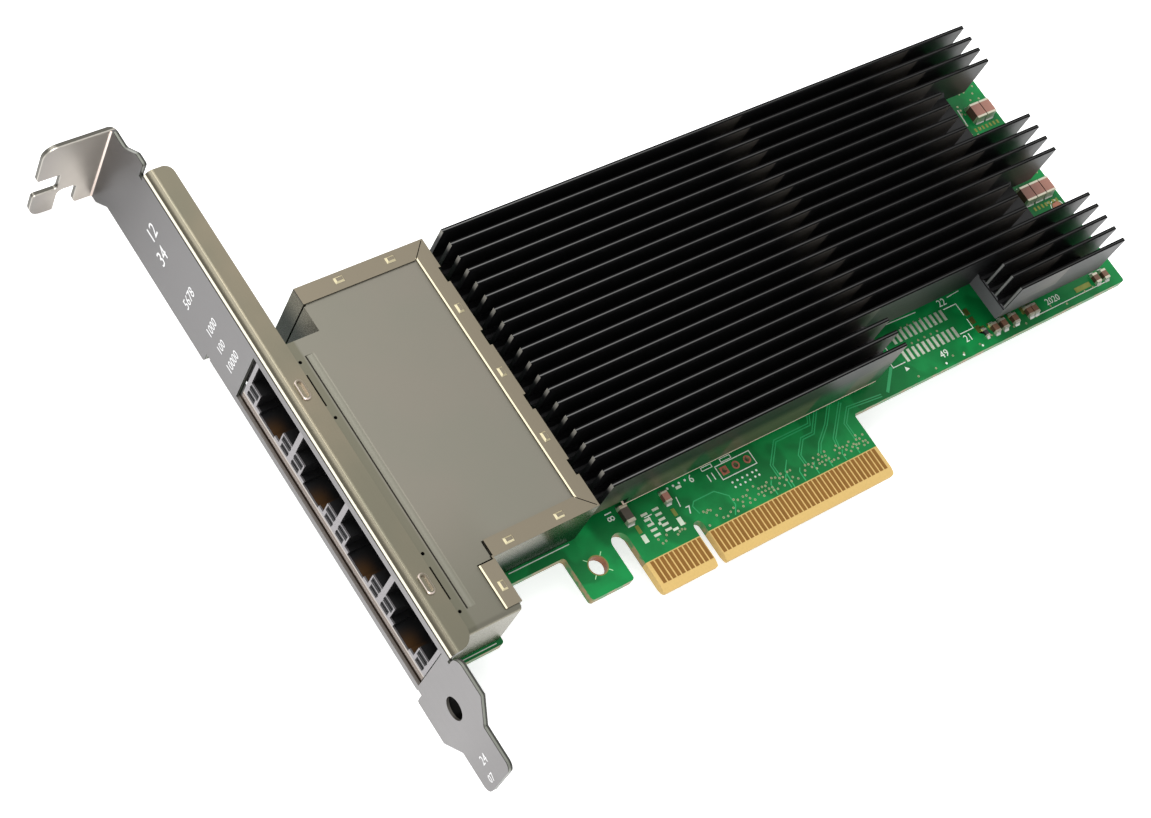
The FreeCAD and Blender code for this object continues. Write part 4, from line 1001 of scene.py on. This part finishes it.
class CARD_OT_pads(bpy.types.Operator):
    """Lay the bare tinned pads that have no part on them"""
    bl_idname = "card.pads"
    bl_label = "Bare pads"

    def execute(self, context):
        tin = ink_finish("dull_tin", context.scene.card_finish.pad_colour)
        tinned = [pad(x - width / 2, y - height / 2, width, height) for x, y, width, height in (
            (-10.1, 9.4, 0.9, 1.5), (-2.5, 9.4, 0.9, 1.5), (0.9, 14.7, 1.1, 0.5),
            (-4.1, 8.6, 1.1, 0.45), (-6.1, 10.6, 0.5, 0.5), (100.0, 38.4, 1.2, 0.5),
            (100.4, 36.8, 0.6, 1.0), (99.0, 57.4, 1.2, 0.5), (99.6, 55.6, 0.6, 1.0))]
        flat_piece("bare_pads", tinned, PAD_RISE, tin)
        gilt = [pad(98.9, 14.4, 4.1, 1.0), pad(-10.5, 10.5, 0.7, 1.5), pad(-2.9, 10.5, 0.7, 1.4)]
        for x, y in grid(3, 1, HEADER_HIGH.x + 5.0, 15.2, 5.2, 0):
            gilt += [pad(x, y, 1.1, 1.5), pad(x + 1.8, y, 1.1, 1.5)]
        gilt += [pad(x, y, 1.1, 1.4) for x, y in grid(1, 3, HEADER_HIGH.x + 4.1, 15.8, 0, 1.9)]
        for row_y in BANK_ROWS_Y:
            gilt += [pad(x, y, 0.5, 0.8) for x, y in grid(7, 1, 103.0, row_y - 3.4, 1.0, 0)]
            gilt += [pad(x, y, 0.8, 0.7) for x, y in grid(1, 3, 97.8, row_y - 1.4, 0, 1.5)]
            gilt += [pad(x, y, 0.6, 0.5) for x, y in grid(1, 3, 100.0, row_y + 3.2, 0, 1.0)]
        bronze = gold_finish("bare_gold", shade(136, 144, 74))
        flat_piece("gold_pads", gilt, PAD_RISE, bronze)
        flat_piece("copper_disc", [disc(MARK_X, MARK_Y, 1.2, 20)], PAD_RISE,
                   gold_finish("copper_mark", shade(178, 122, 100)))
        under = [pad(x, y, 0.9, 1.0) for x, y in grid(6, 2, -96, 44, 6.0, 1.6)]
        flat_piece("back_pads", under, PAD_RISE, tin, BACK)
        return {"FINISHED"}


class CARD_OT_solder(bpy.types.Operator):
    """Run a fillet of solder up both ends of each small part"""
    bl_idname = "card.solder"
    bl_label = "Solder fillets"

    def execute(self, context):
        first = self.model_fillet()
        places = []
        for node in ("bulk_capacitors", "edge_capacitors", "bypass_capacitor", "chip_resistor",
                     "ferrite_bead"):
            for low, high in blocks(node):
                size = (high.x - low.x, FILLET_DEPTH, (high.z - low.z) * FILLET_SHARE)
                x = (low.x + high.x) / 2
                places += [((x, low.y, 0), size, math.pi), ((x, high.y, 0), size, 0)]
        made = []
        for middle, size, turn in places:
            choose([first])
            bpy.ops.object.duplicate(linked=False)
            piece = bpy.context.object
            seat(piece, Vector(size) * MM, (0, 0, turn), Vector(middle) * MM)
            made.append(piece)
        choose([first])
        bpy.ops.object.delete()
        choose(made)
        bpy.ops.object.join()
        settle(made[0], "solder_fillets", tinned_finish("fresh_solder"))
        return {"FINISHED"}

    def model_fillet(self):
        """One fillet, a unit wide, deep and high: a wedge with its slope hollowed in two steps."""
        begin()
        bpy.ops.mesh.primitive_cube_add(size=1, location=(0, 0.5, 0.5))
        bpy.ops.object.transform_apply(location=True, rotation=False, scale=False)
        piece = bpy.context.object
        pick(piece, lambda point: point.y > 0.9 and point.z > 0.9)
        bpy.ops.transform.translate(value=(0, 0, -0.94))
        pick(piece, lambda point: point.y > 0.9)
        bpy.ops.transform.resize(value=(0.84, 1, 1), center_override=(0, 1, 0))
        pick(piece, lambda point: point.z > 0.05)
        bpy.ops.mesh.subdivide(number_cuts=2)
        pick(piece, lambda point: 0.2 < point.y < 0.5 and point.z > 0.5)
        bpy.ops.transform.translate(value=(0, 0, -0.2))
        pick(piece, lambda point: 0.5 < point.y < 0.8 and point.z > 0.25)
        bpy.ops.transform.translate(value=(0, 0, -0.17))
        mode("OBJECT")
        return piece


class CARD_OT_bracket_numbers(bpy.types.Operator):
    """Mark the bracket with plain numbers"""
    bl_idname = "card.bracket_numbers"
    bl_label = "Bracket numbers"

    def execute(self, context):
        ink = ink_finish("bracket_ink", shade(228, 228, 228))
        rows = [
            ("12", 3.0, 89.0, 2.7, 0), ("34", 1.6, 85.2, 2.7, 0), ("5678", 1.6, 76.8, 1.9, 0),
            ("1000", 2.8, 70.2, 1.7, 0), ("100", 2.0, 66.9, 1.6, 0), ("10000", 2.6, 63.6, 1.7, 0),
            ("24", 2.6, -10.2, 1.6, 0), ("07", 1.5, -13.0, 1.4, 0),
        ]
        number_piece("bracket_numbers", rows, PRINT_RISE, ink, PANEL)
        return {"FINISHED"}


class CARD_OT_stage(bpy.types.Operator):
    """Add the floor, the lights and the camera"""
    bl_idname = "card.stage"
    bl_label = "Stage"

    def execute(self, context):
        stage = context.scene.card_stage
        context.scene.view_settings.view_transform = "Standard"
        self.add_floor(stage)
        self.add_world(stage)
        low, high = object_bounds()
        middle = (Vector(low) + Vector(high)) / 2
        self.add_lamp("key", middle, (-0.25, 0.35, 0.65), size=0.55, power=7.0)
        self.add_lamp("fill", middle, (-0.55, -0.45, 0.35), size=0.5, power=2.5)
        bpy.ops.object.camera_add(location=stage.camera_place, rotation=stage.camera_turn)
        camera = context.object
        camera.name = "camera"
        camera.data.sensor_width = 36
        camera.data.lens = stage.lens
        camera.data.clip_end = 20
        context.scene.camera = camera
        return {"FINISHED"}

    def add_lamp(self, name, target, away, size, power):
        bpy.ops.object.light_add(type="AREA", location=target + Vector(away))
        lamp = bpy.context.object
        lamp.name = name
        lamp.rotation_euler = (-Vector(away)).to_track_quat("-Z", "Y").to_euler()
        lamp.data.size = size
        lamp.data.energy = power

    def paler_when_seen(self, tree, output, lit, seen):
        """Gives the output one shader for the light, and a paler one for rays from the camera, a
        mirror or glass."""
        ray = add_node(tree, "ShaderNodeLightPath")
        direct = Wire(tree, ray.outputs["Is Camera Ray"])
        for kind in ("Is Glossy Ray", "Is Transmission Ray"):
            direct = direct.either(Wire(tree, ray.outputs[kind]))
        mix = add_node(tree, "ShaderNodeMixShader",
                       {0: direct, 1: lit.outputs[0], 2: seen.outputs[0]})
        feed(tree, tree.nodes[output].inputs["Surface"], mix.outputs[0])

    def add_world(self, stage):
        world = bpy.data.worlds.new("sky")
        bpy.context.scene.world = world
        world.use_nodes = True
        tree = world.node_tree
        sky = tree.nodes["Background"]
        feed(tree, sky.inputs["Color"], (1, 1, 1))
        feed(tree, sky.inputs["Strength"], stage.sky)
        white = add_node(tree, "ShaderNodeBackground", {"Color": (1, 1, 1)})
        self.paler_when_seen(tree, "World Output", sky, white)

    def add_floor(self, stage):
        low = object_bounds()[0][2]
        begin()
        bpy.ops.mesh.primitive_plane_add(size=stage.floor_size, location=(0, 0, low))
        floor = bpy.context.object
        floor.name = "floor"
        bpy.ops.object.transform_apply(location=True, rotation=True, scale=True)
        material = bpy.data.materials.new("pale_floor")
        material.use_nodes = True
        tree = material.node_tree
        matt = tree.nodes["Principled BSDF"]
        for key, value in (("Base Color", (FLOOR_TONE,) * 3), ("Roughness", 1.0),
                           ("Specular IOR Level", 0.0)):
            feed(tree, matt.inputs[key], value)
        glow = add_node(tree, "ShaderNodeEmission", {"Strength": FLOOR_GLOW})
        pale = add_node(tree, "ShaderNodeAddShader", {0: matt.outputs[0], 1: glow.outputs[0]})
        self.paler_when_seen(tree, "Material Output", matt, pale)
        floor.data.materials.append(material)
        floor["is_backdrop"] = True


class CARD_PT_panel(bpy.types.Panel):
    """Buttons for each group of pieces"""
    bl_idname = "CARD_PT_panel"
    bl_label = "Network card"
    bl_space_type = "VIEW_3D"
    bl_region_type = "UI"
    bl_category = "Network card"

    def draw(self, context):
        for operator in OPERATORS:
            self.layout.operator(operator.bl_idname)


OPERATORS = (CARD_OT_finishes, CARD_OT_tracks, CARD_OT_vias, CARD_OT_printing, CARD_OT_pads,
             CARD_OT_solder, CARD_OT_bracket_numbers, CARD_OT_stage)
SETTINGS = {"card_finish": CardFinish, "card_detail": CardDetail, "card_stage": CardStage}
CLASSES = tuple(SETTINGS.values()) + OPERATORS + (CARD_PT_panel,)


def register():
    for item in CLASSES:
        bpy.utils.register_class(item)
    for name, group in SETTINGS.items():
        setattr(bpy.types.Scene, name, PointerProperty(type=group))


def unregister():
    for name in SETTINGS:
        delattr(bpy.types.Scene, name)
    for item in reversed(CLASSES):
        bpy.utils.unregister_class(item)


def main():
    register()
    bpy.ops.card.finishes()
    bpy.ops.card.tracks()
    bpy.ops.card.vias()
    bpy.ops.card.printing()
    bpy.ops.card.pads()
    bpy.ops.card.solder()
    bpy.ops.card.bracket_numbers()
    bpy.ops.card.stage()


if __name__ == "__main__":
    main()
